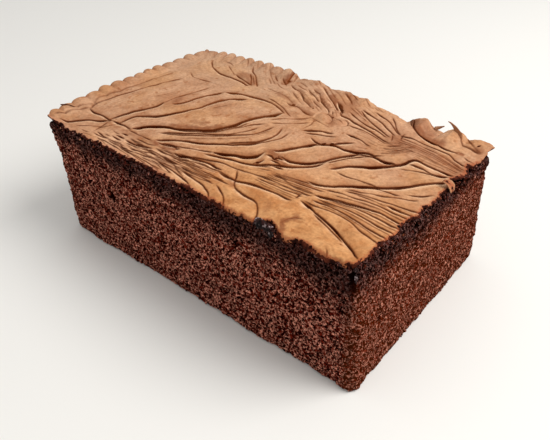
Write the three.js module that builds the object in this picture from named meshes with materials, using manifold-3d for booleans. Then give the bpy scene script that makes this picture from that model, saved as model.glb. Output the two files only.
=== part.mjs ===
// Chiffon loaf cake: one solid loaf with a domed, wrinkled crust, a crimped rim and lifted flakes of crust.
// Millimetres, +Z up. The origin is under the middle of the loaf, on the surface that it stands on.
// +X runs along the loaf from its crimped end to its plain end, and -Y faces its plain long side.

import * as THREE from "three";
import { mergeVertices } from "three/addons/utils/BufferGeometryUtils.js";
import Module from "manifold-3d";

// Loaf as the tin left it
const TOP_LENGTH = 220;
const TOP_WIDTH = 128.6;
const TOP_MIDDLE = { x: 0.7, y: -2.5 }; // from the middle of the whole loaf
const WALL_HEIGHT = 78;
const CORNER_RADIUS = 4;
const BASE_EDGE_RADIUS = 2;

// The walls drew in under the crust as they cooled: how far each corner of the walls stands aside from a corner
// of the top, up to a height, and again close under the crust
const DRAWN_FROM = 45;
const DRAWN_TO = 75;
const WALL_CORNERS = { frontLeft: [-0.5, 0.5], frontRight: [3.2, 0.5], backLeft: [0, 1.7], backRight: [-2.5, 6.7] };
const DRAWN_CORNERS = { frontLeft: [-2, 0], frontRight: [0, 0], backLeft: [0, 0], backRight: [0, 0] };

// Crown: the top leans, twists a little and domes, most of all along its back edge
const LEAN_ALONG = -1.4;
const LEAN_ACROSS = 0.4;
const TWIST = -1.6;
const DOME_MIDDLE = 2;
const DOME_BACK = 3;
const SAG_MIDDLE = 1;
const SAG_LEFT = 1.5;

// Rim: the band of crust that stands past the walls
const RIM_BAND = 8;
const LIP_DEPTH = 5;
const EDGE_DROP = 2.4;
const CRIMP_PITCH = 8.8;
const CRIMP_REACH = 2.2;
const CRIMP_LIFT = 1.6;
const CRIMPED_BACK_END = -30; // the back edge is crimped from the left corner to here
const LEFT_OVERHANG = 2.4; // the crimped end stands out further towards its front corner
const RAGGED_REACH = 0.9;
const FLAKE_REACH = 3.4;
const FLAKE_LIFT = 6;
const FLAKES = [67, 88, 105]; // middles of the lifted flakes along the back edge
const FLAKE_HALF_WIDTH = 9;
const TORN_LUMP = { along: 16, half: 9, reach: 3.2, lift: 0.5 }; // on the plain end
const BLISTER = { along: 57, half: 6, reach: 2.6, lift: 1.2 }; // on the plain long side

// Folds of the crust: a groove runs along each route, given as [x, y] points
const FOLD_WIDTH = 2.6;
const FOLD_DEPTH = 1.7;
const FOLDS = [
  [[-84, 20], [-93, -2], [-104, -38]],
  [[-58, 18], [-69, -15], [-80, -42]],
  [[0, 24], [-25, 27], [-47, 20], [-58, -4]],
  [[-28, 23], [-45, 5], [-57, -18], [-72, -38]],
  [[0, 22], [-13, 2], [-30, -22], [-62, -41]],
  [[-103, -42], [-70, -42], [-40, -43], [-20, -46]],
  [[-81, -43], [-104, -60]],
  [[-90, 53], [-76, 42], [-40, 38]],
  [[-58, 58], [-38, 40], [-3, 34]],
  [[-8, 57], [20, 48], [36, 41], [63, 34]],
  [[33, 54], [64, 44], [90, 46], [107, 41]],
  [[62, 61], [76, 52], [107, 47]],
  [[12, 5], [0, -17], [-40, -43]],
  [[17, -18], [0, -30], [-36, -43]],
  [[36, 9], [22, -12]],
  [[70, 18], [40, 10], [24, 12]],
  [[57, 14], [49, -3], [30, -21], [5, -33]],
  [[84, 29], [75, 14], [55, -7]],
  [[107, 23], [86, -4], [53, -24]],
  [[66, -28], [80, -25], [107, -24]],
  [[65, -35], [85, -37], [107, -44]],
  [[25, -44], [65, -39], [86, -46], [107, -58]],
  [[-43, -57], [18, -49], [44, -52], [53, -61]],
];
const SAMPLES_PER_FOLD = 60;

// Mesh: closer columns along the crimped part of the loaf
const COLUMNS_CRIMPED = 34;
const COLUMNS_PLAIN = 28;
const ROWS = 60;
const CUT_DEPTH = 6; // how far the rough block reaches under the base before it is cut flat

const halfLength = TOP_LENGTH / 2;
const halfWidth = TOP_WIDTH / 2;

const grooves = FOLDS.map((route) => {
  const points = route.map(([x, y]) => new THREE.Vector3(x, y, 0));
  return new THREE.CatmullRomCurve3(points).getSpacedPoints(SAMPLES_PER_FOLD);
});

// Height of the smooth crown over a point of the plan
function crownHeight(x, y) {
  const u = THREE.MathUtils.clamp(x / halfLength, -1, 1);
  const v = THREE.MathUtils.clamp(y / halfWidth, -1, 1);
  const lean = LEAN_ALONG * u + LEAN_ACROSS * v + TWIST * u * v;
  const domeAlong = (DOME_MIDDLE + DOME_BACK * v) * (1 - u * u);
  const domeAcross = (SAG_MIDDLE - SAG_LEFT * u) * (1 - v * v);
  return WALL_HEIGHT + lean + domeAlong + domeAcross;
}

// Depth of the nearest fold at a point of the plan
function foldDepth(x, y) {
  let nearest = Infinity;
  for (const groove of grooves) {
    for (const p of groove) {
      nearest = Math.min(nearest, Math.hypot(p.x - x, p.y - y));
    }
  }
  return FOLD_DEPTH * Math.exp(-((nearest / FOLD_WIDTH) ** 2));
}

// A smooth hump, 1 in the middle and 0 at its half width
function hump(distance, half) {
  const t = Math.min(Math.abs(distance) / half, 1);
  return (1 - t * t) ** 2;
}

// Uneven edge of the crust, between 0 and 1
function ragged(s) {
  return 0.5 + 0.3 * Math.sin(s * 0.71) + 0.2 * Math.sin(s * 1.57 + 1.3);
}

// One bead after another along the crimped edge, between 0 and 1
function crimped(s) {
  return Math.abs(Math.sin((Math.PI * s) / CRIMP_PITCH));
}

function crimpedRim(s, overhang) {
  const bead = crimped(s);
  return { reach: CRIMP_REACH * bead + overhang, lift: CRIMP_LIFT * bead };
}

// What the rim adds at a place along each edge: reach past the wall, and lift over the crown
const RIMS = {
  left: (y) => crimpedRim(y, (LEFT_OVERHANG * (1 - y / halfWidth)) / 2),
  back(x) {
    if (x < CRIMPED_BACK_END) {
      return crimpedRim(x, 0);
    }
    const flake = Math.max(...FLAKES.map((middle) => hump(x - middle, FLAKE_HALF_WIDTH)));
    return { reach: RAGGED_REACH * ragged(x) + FLAKE_REACH * flake, lift: FLAKE_LIFT * flake };
  },
  right: (y) => brokenRim(y, TORN_LUMP),
  front: (x) => brokenRim(x, BLISTER),
};

function brokenRim(s, lump) {
  const share = hump(s - lump.along, lump.half);
  return { reach: RAGGED_REACH * ragged(s) + lump.reach * share, lift: lump.lift * share };
}

// Heights of the block's layers: the cut, the rounded base edge, the wall, the lip and the rim
const LAYERS = [
  -CUT_DEPTH,
  0,
  BASE_EDGE_RADIUS * 0.3,
  BASE_EDGE_RADIUS,
  DRAWN_FROM,
  (DRAWN_FROM + DRAWN_TO) / 2,
  WALL_HEIGHT - LIP_DEPTH,
  WALL_HEIGHT,
];

// Column k along the loaf, from -1 at the crimped end to 1
function columnPlace(k) {
  const crimpedShare = (CRIMPED_BACK_END / halfLength + 1) / 2;
  const share =
    k < COLUMNS_CRIMPED
      ? (crimpedShare * k) / COLUMNS_CRIMPED
      : crimpedShare + ((1 - crimpedShare) * (k - COLUMNS_CRIMPED)) / COLUMNS_PLAIN;
  return 2 * share - 1;
}

// Rounds the corners of a rectangle by bending each corner's square into a quarter disc
function roundCorner(x, y, a, b, radius) {
  const p = (Math.abs(x) - a + radius) / radius;
  const q = (Math.abs(y) - b + radius) / radius;
  if (p <= 0 || q <= 0) {
    return [x, y];
  }
  const px = p * Math.sqrt(1 - (q * q) / 2);
  const py = q * Math.sqrt(1 - (p * p) / 2);
  return [Math.sign(x) * (a - radius + px * radius), Math.sign(y) * (b - radius + py * radius)];
}

// A pair of numbers spread over the plan from the four corners, for u and v from -1 to 1
function spread(corners, u, v) {
  const { lerp } = THREE.MathUtils;
  const right = (u + 1) / 2;
  const back = (v + 1) / 2;
  return [0, 1].map((k) =>
    lerp(
      lerp(corners.frontLeft[k], corners.frontRight[k], right),
      lerp(corners.backLeft[k], corners.backRight[k], right),
      back,
    ),
  );
}

// Plan of the loaf at a height, for u and v from -1 to 1
function planPoint(u, v, z) {
  const rise = Math.min(Math.max(z, 0), BASE_EDGE_RADIUS);
  const inset = BASE_EDGE_RADIUS - Math.sqrt(BASE_EDGE_RADIUS ** 2 - (BASE_EDGE_RADIUS - rise) ** 2);
  const a = halfLength - inset;
  const b = halfWidth - inset;
  const [x, y] = roundCorner(u * a, v * b, a, b, CORNER_RADIUS);
  if (z >= WALL_HEIGHT) {
    return [x, y];
  }
  const drawn = THREE.MathUtils.smoothstep(z, DRAWN_FROM, DRAWN_TO);
  const aside = spread(WALL_CORNERS, u, v);
  const asideDrawn = spread(DRAWN_CORNERS, u, v);
  return [
    x + THREE.MathUtils.lerp(aside[0], asideDrawn[0], drawn),
    y + THREE.MathUtils.lerp(aside[1], asideDrawn[1], drawn),
  ];
}

// Sum of the rims' pushes at a point of the top, fading from the edge inwards over the rim band
function rimPush(x, y) {
  const edges = [
    { rim: RIMS.left(y), depth: x + halfLength, dx: -1, dy: 0 },
    { rim: RIMS.right(y), depth: halfLength - x, dx: 1, dy: 0 },
    { rim: RIMS.front(x), depth: y + halfWidth, dx: 0, dy: -1 },
    { rim: RIMS.back(x), depth: halfWidth - y, dx: 0, dy: 1 },
  ];
  const push = { x: 0, y: 0, z: 0, fold: 1 };
  for (const { rim, depth, dx, dy } of edges) {
    const fade = hump(Math.min(depth, RIM_BAND), RIM_BAND);
    push.x += dx * rim.reach * fade;
    push.y += dy * rim.reach * fade;
    push.z += rim.lift * fade;
    push.fold *= 1 - fade;
  }
  return push;
}

function loafGeometry() {
  const columns = COLUMNS_CRIMPED + COLUMNS_PLAIN;
  const layers = LAYERS.length - 1;
  const block = new THREE.BoxGeometry(columns, ROWS, layers, columns, ROWS, layers);
  block.deleteAttribute("normal");
  block.deleteAttribute("uv");
  const geometry = mergeVertices(block);
  const position = geometry.getAttribute("position");
  for (let i = 0; i < position.count; i += 1) {
    const column = Math.round(position.getX(i) + columns / 2);
    const row = Math.round(position.getY(i) + ROWS / 2);
    const layer = Math.round(position.getZ(i) + layers / 2);
    const u = columnPlace(column);
    const v = (2 * row) / ROWS - 1;
    const onEdge = column === 0 || column === columns || row === 0 || row === ROWS;
    const level = LAYERS[layer];
    let [x, y] = planPoint(u, v, level);
    let z = level;
    if (layer === layers) {
      const push = rimPush(x, y);
      z = crownHeight(x, y) + push.z - foldDepth(x, y) * push.fold - (onEdge ? EDGE_DROP : 0);
      x += push.x;
      y += push.y;
    } else if (level > BASE_EDGE_RADIUS) {
      z = (level * crownHeight(x, y)) / WALL_HEIGHT;
    }
    position.setXYZ(i, x + TOP_MIDDLE.x, y + TOP_MIDDLE.y, z);
  }
  return geometry;
}

// The underside is cut flat where the loaf stands
function cutFlat(geometry, wasm) {
  const solidOf = (g) =>
    new wasm.Manifold(
      new wasm.Mesh({
        numProp: 3,
        vertProperties: g.getAttribute("position").array,
        triVerts: new Uint32Array(g.index.array),
      }),
    );
  const slab = new THREE.BoxGeometry(2 * TOP_LENGTH, 2 * TOP_WIDTH, 2 * CUT_DEPTH);
  slab.translate(0, 0, -CUT_DEPTH);
  slab.deleteAttribute("normal");
  slab.deleteAttribute("uv");
  const cut = solidOf(geometry).subtract(solidOf(mergeVertices(slab))).getMesh();
  const flat = new THREE.BufferGeometry();
  flat.setAttribute("position", new THREE.BufferAttribute(cut.vertProperties, cut.numProp));
  flat.setIndex(new THREE.BufferAttribute(cut.triVerts, 1));
  flat.computeVertexNormals();
  return flat;
}

const wasm = await Module();
wasm.setup();

const crust = new THREE.MeshStandardMaterial({ color: 0xb9855c, roughness: 0.7, metalness: 0 });
const loaf = new THREE.Mesh(cutFlat(loafGeometry(), wasm), crust);
loaf.name = "loaf";

const cake = new THREE.Group();
cake.add(loaf);

export default cake;
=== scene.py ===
import math

import bmesh
import bpy
import numpy as np
from mathutils import Matrix, Vector


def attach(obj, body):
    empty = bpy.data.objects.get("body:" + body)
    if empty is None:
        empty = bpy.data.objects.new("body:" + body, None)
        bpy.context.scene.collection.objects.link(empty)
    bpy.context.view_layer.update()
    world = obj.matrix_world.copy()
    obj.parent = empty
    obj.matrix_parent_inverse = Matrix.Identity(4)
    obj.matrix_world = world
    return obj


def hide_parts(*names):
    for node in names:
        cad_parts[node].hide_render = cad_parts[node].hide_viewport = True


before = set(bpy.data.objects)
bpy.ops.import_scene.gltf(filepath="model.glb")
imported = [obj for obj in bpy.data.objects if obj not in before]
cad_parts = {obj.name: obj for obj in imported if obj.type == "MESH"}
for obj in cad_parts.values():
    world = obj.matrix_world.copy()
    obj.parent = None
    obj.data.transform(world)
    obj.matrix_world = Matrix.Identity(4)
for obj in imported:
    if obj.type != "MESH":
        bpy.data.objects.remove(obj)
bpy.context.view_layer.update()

# A chocolate chiffon cake baked as a loaf. Sizes are in millimetres until a mesh is made.
# +X runs along the loaf from its crimped end to its plain end, and -Y faces its plain long side.
MM = 0.001

# Loaf as the tin left it, as in the solid
TOP_LENGTH = 220.0
TOP_WIDTH = 128.6
TOP_MIDDLE = (0.7, -2.5, 0.0)    # from the middle of the whole loaf
WALL_HEIGHT = 78.0
CORNER_RADIUS = 4.0
FRONT_LEFT_RADIUS = 6.0
BASE_EDGE_RADIUS = 2.0
HALF_LENGTH = TOP_LENGTH / 2
HALF_WIDTH = TOP_WIDTH / 2

# The walls drew in under the crust as they cooled: how far each corner of the walls stands aside from a
# corner of the top, up to a height, and again close under the crust. Front left, front right, back left,
# back right
DRAWN_FROM = 45.0
DRAWN_TO = 75.0
WALL_CORNERS = [(-0.5, 0.5), (3.2, 0.5), (0.0, 1.7), (-2.5, 6.7)]
DRAWN_CORNERS = [(-3.6, 0.0), (0.0, 0.0), (0.0, 0.0), (0.0, 0.0)]

# Crown: the top leans, twists a little and domes, most of all along its back edge
LEAN_ALONG = -1.4
LEAN_ACROSS = 0.4
TWIST = -1.6
DOME_MIDDLE = 2.0
DOME_BACK = 3.0
SAG_MIDDLE = 1.0
SAG_LEFT = 1.5

# Rim of the crust
RIM_BAND = 9.0
RAGGED_BAND = 4.0
CRIMP_PITCH = 8.8
CRIMP_REACH = 2.2
CRIMP_LIFT = 1.7
CRIMP_CREST = 3.0
CRIMP_MIDDLE = 0.7    # height of a bead where the back rim neither rises nor sinks
CRIMP_SIZES = (0.6, 1.15)
CRIMP_ROUND = 0.75
CRIMP_STRAY = 2.5
CRIMP_STRAY_CELL = 25.0
CRIMPED_BACK_END = -30.0
CRIMP_FADE = 4.0
LEFT_BEADS = 11    # seeds of the two rows of beads
BACK_BEADS = 12
# Painted shade in the dips between the beads of the crimped rim: how far in it reaches, and how dark
DIP_BAND = 7.0
DIP_SHADE = 0.6
LEFT_OVERHANG = 5.2
LEFT_RISE = 2.4
BACK_OVERHANG = 1.8
FRONT_INSET = 1.4
FRONT_INSET_RISE = (-112.0, -100.0)
FRONT_INSET_FALL = (-10.0, 25.0)
RIGHT_INSET = 0.6
CORNER_FLAP = 1.6
CORNER_FLAP_RISE = (46.0, 64.0)
RAGGED_REACH = 1.2
RIGHT_RAGGED_REACH = 2.1
RAGGED_WAVES = [(0.6, 6.0), (0.35, 2.6), (0.2, 1.1)]    # (height, cell)
EDGE_DROP = 0.9
HANGING_DROP = 2.2    # of the front edge, which hangs lower in two steps
HANGING_STEPS = [(6.0, 24.0), (58.0, 70.0)]
EDGE_RADIUS = 2.5
CRUST_THICKNESS = 0.8
EDGE_RELIEF = 0.45    # share of the relief that is left at the edge
EDGE_RELIEF_BAND = 5.0
CRUST_WAVES = [(0.35, 16.0, 1), (0.12, 4.0, 2), (0.05, 1.3, 4)]    # (height, cell, seed)
EDGE_RINGS = [(0.1, 0.5 * CRUST_THICKNESS), (0.6, CRUST_THICKNESS), (5.0, 3.5)]    # (inset, drop)
HIDDEN_MIDDLE = WALL_HEIGHT - 8    # height of the middle of what the crust hides

# How far the torn dark border reaches in from the edge of the crust
FRONT_TEAR = 0.9
FRONT_END_TEAR = 0.4
FRONT_END = (30.0, 50.0)    # where the front border narrows
RIGHT_TEAR = 0.7
WHOLE_EDGE = -1.6
WHOLE_CORNER = (46.0, 60.0)    # where the plain end's border ends towards the back

# Back rim: height over the crown by place along the loaf, with the flakes at its right end
BACK_RIM = [
    (-110, 0.8), (-85, 2.2), (-33, 2.6), (-26, 2.2), (-23.4, -1.1), (-18, 0.6), (-7.4, 2.1), (1.8, -0.8),
    (16.7, 1.6), (23.5, 0.5), (29.4, 1.4), (34.3, -0.8), (42, -1.3), (52, -2.6), (57, -3.8), (58.5, -3.0),
    (61, -1.2), (63.4, 0.2), (66.5, 1.5), (68.4, 1.6), (70, 0.6), (72.6, -1.8), (77, -2.5), (79.4, -2.8),
    (81.6, -0.5), (84, 1.0), (86.2, 2.8), (88.7, 2.5), (92.8, 0.5), (95.2, -0.5), (98, 1.1), (101, 2.0),
    (107, 2.4), (110, 2.2),
]
FLAKES_START = 58.0
FLAKES_FADE = 2.0
FLAKE_REACH = 2.4
FLAKE_BAND = 13.0
FLAKE_FLAT = 0.7    # share of the rolled edge that the flakes lack

# Notch in the front edge of the crust, where a blister broke out, and bites out of its plain end edge:
# (middle, half width, depth)
NOTCH = (59.5, 8.0, 4.2)
BITES = [(45.0, 8.0, 2.4), (26.5, 4.5, 2.2)]

# Folds of the crust: (strength, route). They lean over to the front right: each but the flaps is higher on
# its back left side
CRIMPED_END_FOLDS = [
    (0.30, [(-97, 22), (-100, 8), (-102, -6), (-104, -28), (-103, -37)]),
    (0.42, [(-84, 20), (-88, 13), (-92, 2), (-98, -14), (-101, -25), (-103, -36), (-101, -42)]),
    (0.38, [(-59, 20), (-62, 11), (-66, 3), (-68, -4), (-68, -11)]),
    (0.85, [(-68, -9), (-69.5, -16), (-72, -22), (-77, -30), (-79, -36), (-80, -43)]),
    (0.70, [(-47, 20.5), (-51, 16), (-54, 10), (-57, 3), (-59, -3), (-63, -9)]),
    (0.80, [(-28, 22.5), (-38.5, 17), (-44.5, 6), (-47, -5), (-54, -16), (-60, -24), (-70, -31),
            (-72.5, -42)]),
    (0.90, [(-102, -41.4), (-97, -42.6), (-88, -42.2), (-82, -43.0), (-78, -43.2)]),
    (0.75, [(-79, -42.8), (-72, -42.0), (-66, -42.4), (-61, -43.2)]),
    (0.40, [(-62, -44.0), (-55, -43.8), (-49, -44.8), (-41, -44.2)]),
    (0.72, [(-80, -43), (-86, -47.5), (-93, -51), (-98, -55.5), (-104, -61)]),
    (0.28, [(-93, -59), (-86, -54), (-80, -52), (-76, -48), (-73, -43)]),
    (0.26, [(-106, -50.7), (-104.8, -44.7), (-103.6, -38.3)]),
    (0.30, [(-106.8, -61.3), (-105.2, -53.7), (-103.2, -43.9), (-102.4, -41.3)]),
]
BIG_LENS_FOLDS = [
    (0.80, [(-47, 20.5), (-43, 23), (-37, 25.5), (-22, 28), (-13, 27.5), (-6, 25.5), (0, 22)]),
    (0.60, [(-20, 30.5), (-12, 29.5), (-5, 27.5), (1, 24), (6, 21)]),
    (1.30, [(0, 22), (-8, 12), (-13, 3), (-17, -8), (-24, -18), (-35, -25.5), (-47, -30), (-58, -37),
            (-61, -42)]),
    (0.50, [(-1, 6), (-6, 2), (-9, -3), (-14, -7), (-17, -12), (-21, -15)]),
    (0.60, [(6, 7), (2, -5), (-4, -11), (-10, -15.5), (-17, -19), (-25, -24), (-36, -31), (-44, -37)]),
    (0.90, [(10, 9), (12, 0), (11, -5.6), (8, -12), (1, -19), (-8, -25.6), (-19, -31), (-30, -35.6),
            (-40, -43)]),
    (0.55, [(16, 7), (16, 0), (13, -6), (5, -14), (-4, -22)]),
]
BACK_LEFT_FOLDS = [
    (0.85, [(-91, 54), (-87, 49.5), (-77, 43), (-64, 39.5), (-50, 39), (-41, 36.5)]),
    (0.40, [(-75, 53), (-69, 49), (-60, 43.5)]),
    (0.30, [(-82, 57), (-76, 56.5), (-71, 54)]),
    (0.85, [(-58, 58.5), (-54, 54.5), (-48, 50.5), (-42, 45), (-36, 39)]),
    (0.80, [(-53, 51), (-48, 46.5), (-44, 42), (-40, 38)]),
    (0.60, [(-49, 49.5), (-45, 45.5), (-40, 40)]),
    (0.75, [(-60, 44.5), (-55, 43), (-50, 41.5), (-40, 38)]),
    (0.60, [(-38, 58), (-34, 55.5), (-30, 52.5)]),
    (0.30, [(-30, 51), (-25, 48.5), (-18, 46)]),
    (1.00, [(-29, 69), (-27, 63), (-26, 58), (-23.5, 53)]),
    (0.90, [(-31, 57.5), (-26.5, 54.5), (-22, 51)]),
    (0.25, [(-30, 41.5), (-20, 40.5), (-10, 38), (-3, 34.5)]),
    (0.35, [(-87, 30), (-80, 25.5), (-72, 25.5), (-64, 26.5)]),
]
MIDDLE_BACK_FOLDS = [
    (0.50, [(-21, 62), (-14, 64.6), (-8.3, 63.4), (-3.7, 61.5)]),
    (0.95, [(18, 52), (21.5, 49.5), (24, 45), (27, 41.5), (33, 41), (41, 39.5), (50, 38), (58, 35),
            (65, 32.5)]),
    (0.70, [(13.8, 61.6), (17.6, 60.4), (22, 58.3), (25.6, 54.7)]),
    (0.60, [(17.1, 64.3), (21.2, 62.6), (26, 59.9)]),
    (0.75, [(50, 60), (55, 55), (60, 49), (65.5, 44.5)]),
    (0.70, [(40, 57.5), (48, 55.5), (55, 51.5), (65, 44.5)]),
    (0.85, [(33, 54.5), (42, 52), (50, 49.5), (58, 45.5), (63, 42)]),
    (0.85, [(33, 53), (38, 50), (46, 45.5), (54, 42.5), (62, 38.5)]),
    (0.70, [(28, 47.5), (35, 45), (43, 42), (52, 41), (61, 37.5)]),
    (0.50, [(36, 34), (45, 36), (54, 34.5), (64, 31.5)]),
    (0.75, [(41, 25.5), (46, 27), (52, 26), (59, 24)]),
    (0.45, [(61, 43), (63.5, 39), (65, 35)]),
    (0.60, [(66, 48), (66, 44), (68, 40)]),
    (0.35, [(18, 28), (20, 22), (19, 14)]),
    (0.30, [(15, 28), (21, 27), (30, 25.5)]),
    (0.35, [(-1.5, 11.2), (4.7, 17.2), (13.1, 25.2), (15.2, 29.1)]),
    (0.32, [(1, 8.3), (10.2, 15.1), (18.5, 22.9)]),
]
# Flaps that lap over one another at the middle of the back, each higher on its back right side
FLAP_FOLDS = [
    (0.45, [(-21, 54.4), (-14.7, 51.2), (-10.1, 49.5), (-4.8, 45.8), (-0.7, 41.6), (3.6, 40), (8.5, 37.6)]),
    (0.50, [(-8, 55.4), (-3.6, 52.7), (0, 50.5), (4.3, 48), (8, 46)]),
    (0.42, [(-6, 57.2), (-2.7, 56.1), (1, 54.7), (5.5, 49.8), (9, 47)]),
    (0.55, [(-3.7, 61.5), (-0.1, 60.8), (4.5, 58.3), (11.7, 53.1), (18.1, 48.5), (22.6, 44.3)]),
    (0.58, [(6, 48.4), (9.6, 46.4), (12.7, 44.9), (16.3, 43), (18.9, 40.4), (20.4, 37.6)]),
    (0.80, [(16, 53), (18, 51.6), (21.8, 48.4), (25.2, 45.7), (26.5, 42.5)]),
    (0.42, [(-8, 34), (-3.6, 32.8), (-0.5, 33.7), (3.7, 32.2), (9.5, 30.6), (14.4, 30)]),
    (0.34, [(17.5, 36), (21.5, 37.4), (25.4, 34.6), (27, 31), (26.4, 27.4)]),
    (0.34, [(30.6, 38.4), (34.4, 37.4), (36.2, 33.8), (35, 30)]),
    (0.35, [(20, 42), (22, 39.6), (23.4, 37.6)]),
    (0.35, [(3, 45.4), (7, 43), (11, 41.4), (15, 38.6)]),
    (0.32, [(-14, 46.6), (-9, 44.2), (-5, 41)]),
]
MIDDLE_FOLDS = [
    (0.80, [(20, 13), (24, 17.5), (30, 20), (36, 21.5)]),
    (0.60, [(23, 12), (28, 15.5), (34, 17.5), (40, 20)]),
    (1.15, [(28, 11), (35, 9), (38, 9.5), (44, 12.5), (50, 12), (56, 14.5), (62, 18), (70, 17.5),
            (79, 18.5)]),
    (1.00, [(42, 12), (46, 17.5), (51, 21)]),
    (0.70, [(56, 14.5), (62, 16.5), (69, 21.5)]),
    (1.10, [(59, 15), (55, 9), (51, 2), (48, -5), (44, -9.5), (40, -12.5), (35, -14.5), (28, -14)]),
    (0.60, [(63, 15.5), (57, 9), (53, 1), (49.5, -4)]),
    (0.95, [(49.5, -4), (46, -11), (39, -18), (32, -21), (26, -25), (22, -28), (17, -30), (8, -32),
            (0, -34), (-8, -37)]),
    (1.25, [(37, 9), (32, 4.5), (28, -2.5), (24, -9.5), (21, -13)]),
    (1.20, [(37, -22.6), (33, -22.8), (29.5, -23.6)]),
    (0.60, [(30, -24.6), (25, -26.4), (22, -28.4)]),
    (1.50, [(18.5, -16), (17, -20.6), (13, -24), (8, -27), (2, -30), (-4, -33)]),
    (0.50, [(-3, -33), (-14, -36.5), (-28, -41), (-37, -43.5)]),
    (0.50, [(38, -33), (31, -34.5), (20, -36.3), (6, -37.5), (-3, -40), (-10, -42.5)]),
    (1.20, [(12, -42.3), (5, -41.3), (0, -41.8), (-5, -42.3), (-11, -43.2), (-16, -45.2), (-21, -46.3)]),
    (0.90, [(58, -41), (48, -41), (40, -41), (34, -42), (25, -44.7), (20, -44.5), (16, -44.6), (11, -44)]),
    (1.00, [(-34, -42.8), (-30, -41.5), (-26, -40.6), (-24, -42), (-21.5, -40.5)]),
    (0.50, [(35, -31), (42, -29.5), (50, -31), (63, -30)]),
    (0.75, [(57.5, -32), (57, -35), (57.5, -39)]),
    (1.20, [(20.5, -18), (24, -16.8), (27, -18.3), (30, -17.3)]),
    (1.10, [(25, -20.5), (29, -19.8), (33, -20.6)]),
    (1.00, [(22.5, -21.5), (22, -25), (20.5, -28)]),
    (1.20, [(26, -13.5), (28, -16), (31.5, -16)]),
]
PLAIN_END_FOLDS = [
    (1.15, [(108, 29.5), (92, 28.5), (85, 29), (82, 25.5), (80, 20), (70, 9), (60, -0.5), (55, -8)]),
    (0.80, [(107, 27), (97, 23.5), (91, 24.5), (83, 24)]),
    (0.45, [(98, 24), (88, 19), (82, 16.5)]),
    (1.10, [(109, 25), (98, 12), (91, 2), (84, -5), (76, -10.5), (69, -16), (62, -21), (53, -24)]),
    (0.45, [(57, -24), (49, -26), (41, -27.5)]),
    (0.50, [(59, -7.5), (68, -7.5), (82, -6), (96, -5)]),
    (0.60, [(108, 7), (103, 2), (97, -2)]),
    (1.30, [(60, -39), (67, -39.2), (72, -41.5), (80, -44), (87, -46.7), (96, -50.6), (102, -54),
            (109, -59)]),
    (0.90, [(72, -42.8), (80, -45.6), (88, -48.6), (95, -51.8)]),
    (1.30, [(60, 64), (63, 59.5), (67, 56), (73, 53), (79, 51.4), (86, 50.6)]),
    (0.80, [(83, 50.8), (90, 50), (98, 49.4)]),
    (0.45, [(101, 48.6), (105, 47.4), (110, 47)]),
    (0.62, [(65, 44), (71, 46.5), (86, 46), (94, 46), (99, 43), (109, 41)]),
    (0.60, [(85, 69), (88, 65.5), (91, 62), (95, 58.5), (107, 56)]),
    (0.45, [(93, 66), (97, 61.5), (101, 59), (107, 57)]),
]
FAN_FOLDS = [
    (0.42, [(72, -18), (82, -14), (92, -9.4), (105, -2.5)]),
    (0.50, [(72, -19), (80, -17), (87, -16), (97, -13.5), (113, -10)]),
    (0.80, [(94, -17), (98, -16), (102, -15.3), (113, -15)]),
    (0.40, [(78, -18.5), (88, -17.5), (95, -17)]),
    (0.50, [(64, -23), (73, -22), (80, -21), (89, -19), (113, -19)]),
    (0.35, [(70, -25), (80, -23.3), (90, -21.5), (113, -21.4)]),
    (0.85, [(62, -31), (68, -29), (78, -26.7), (84, -25), (91, -23.7), (100, -23.3), (113, -24)]),
    (0.30, [(74, -28.6), (86, -26), (96, -25.4), (113, -26.2)]),
    (0.60, [(68, -29), (78, -28.3), (87, -27.2), (98, -27.2), (113, -28.3)]),
    (0.30, [(72, -30.4), (84, -29.2), (96, -29.6), (113, -30.8)]),
    (0.60, [(66, -32.2), (73, -31.7), (82, -31), (89, -30.8), (98, -32.2), (113, -33.3)]),
    (0.30, [(70, -33), (82, -32.5), (92, -33), (113, -35.8)]),
    (0.65, [(64, -35), (72, -34), (82, -34), (91, -35), (100, -36.7), (113, -38.3)]),
    (0.30, [(70, -35.8), (82, -35.5), (92, -36.8), (113, -41)]),
    (0.55, [(62, -37.5), (70, -37.2), (78, -37), (87, -37), (91, -38), (98, -41), (113, -44.4)]),
]
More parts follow.
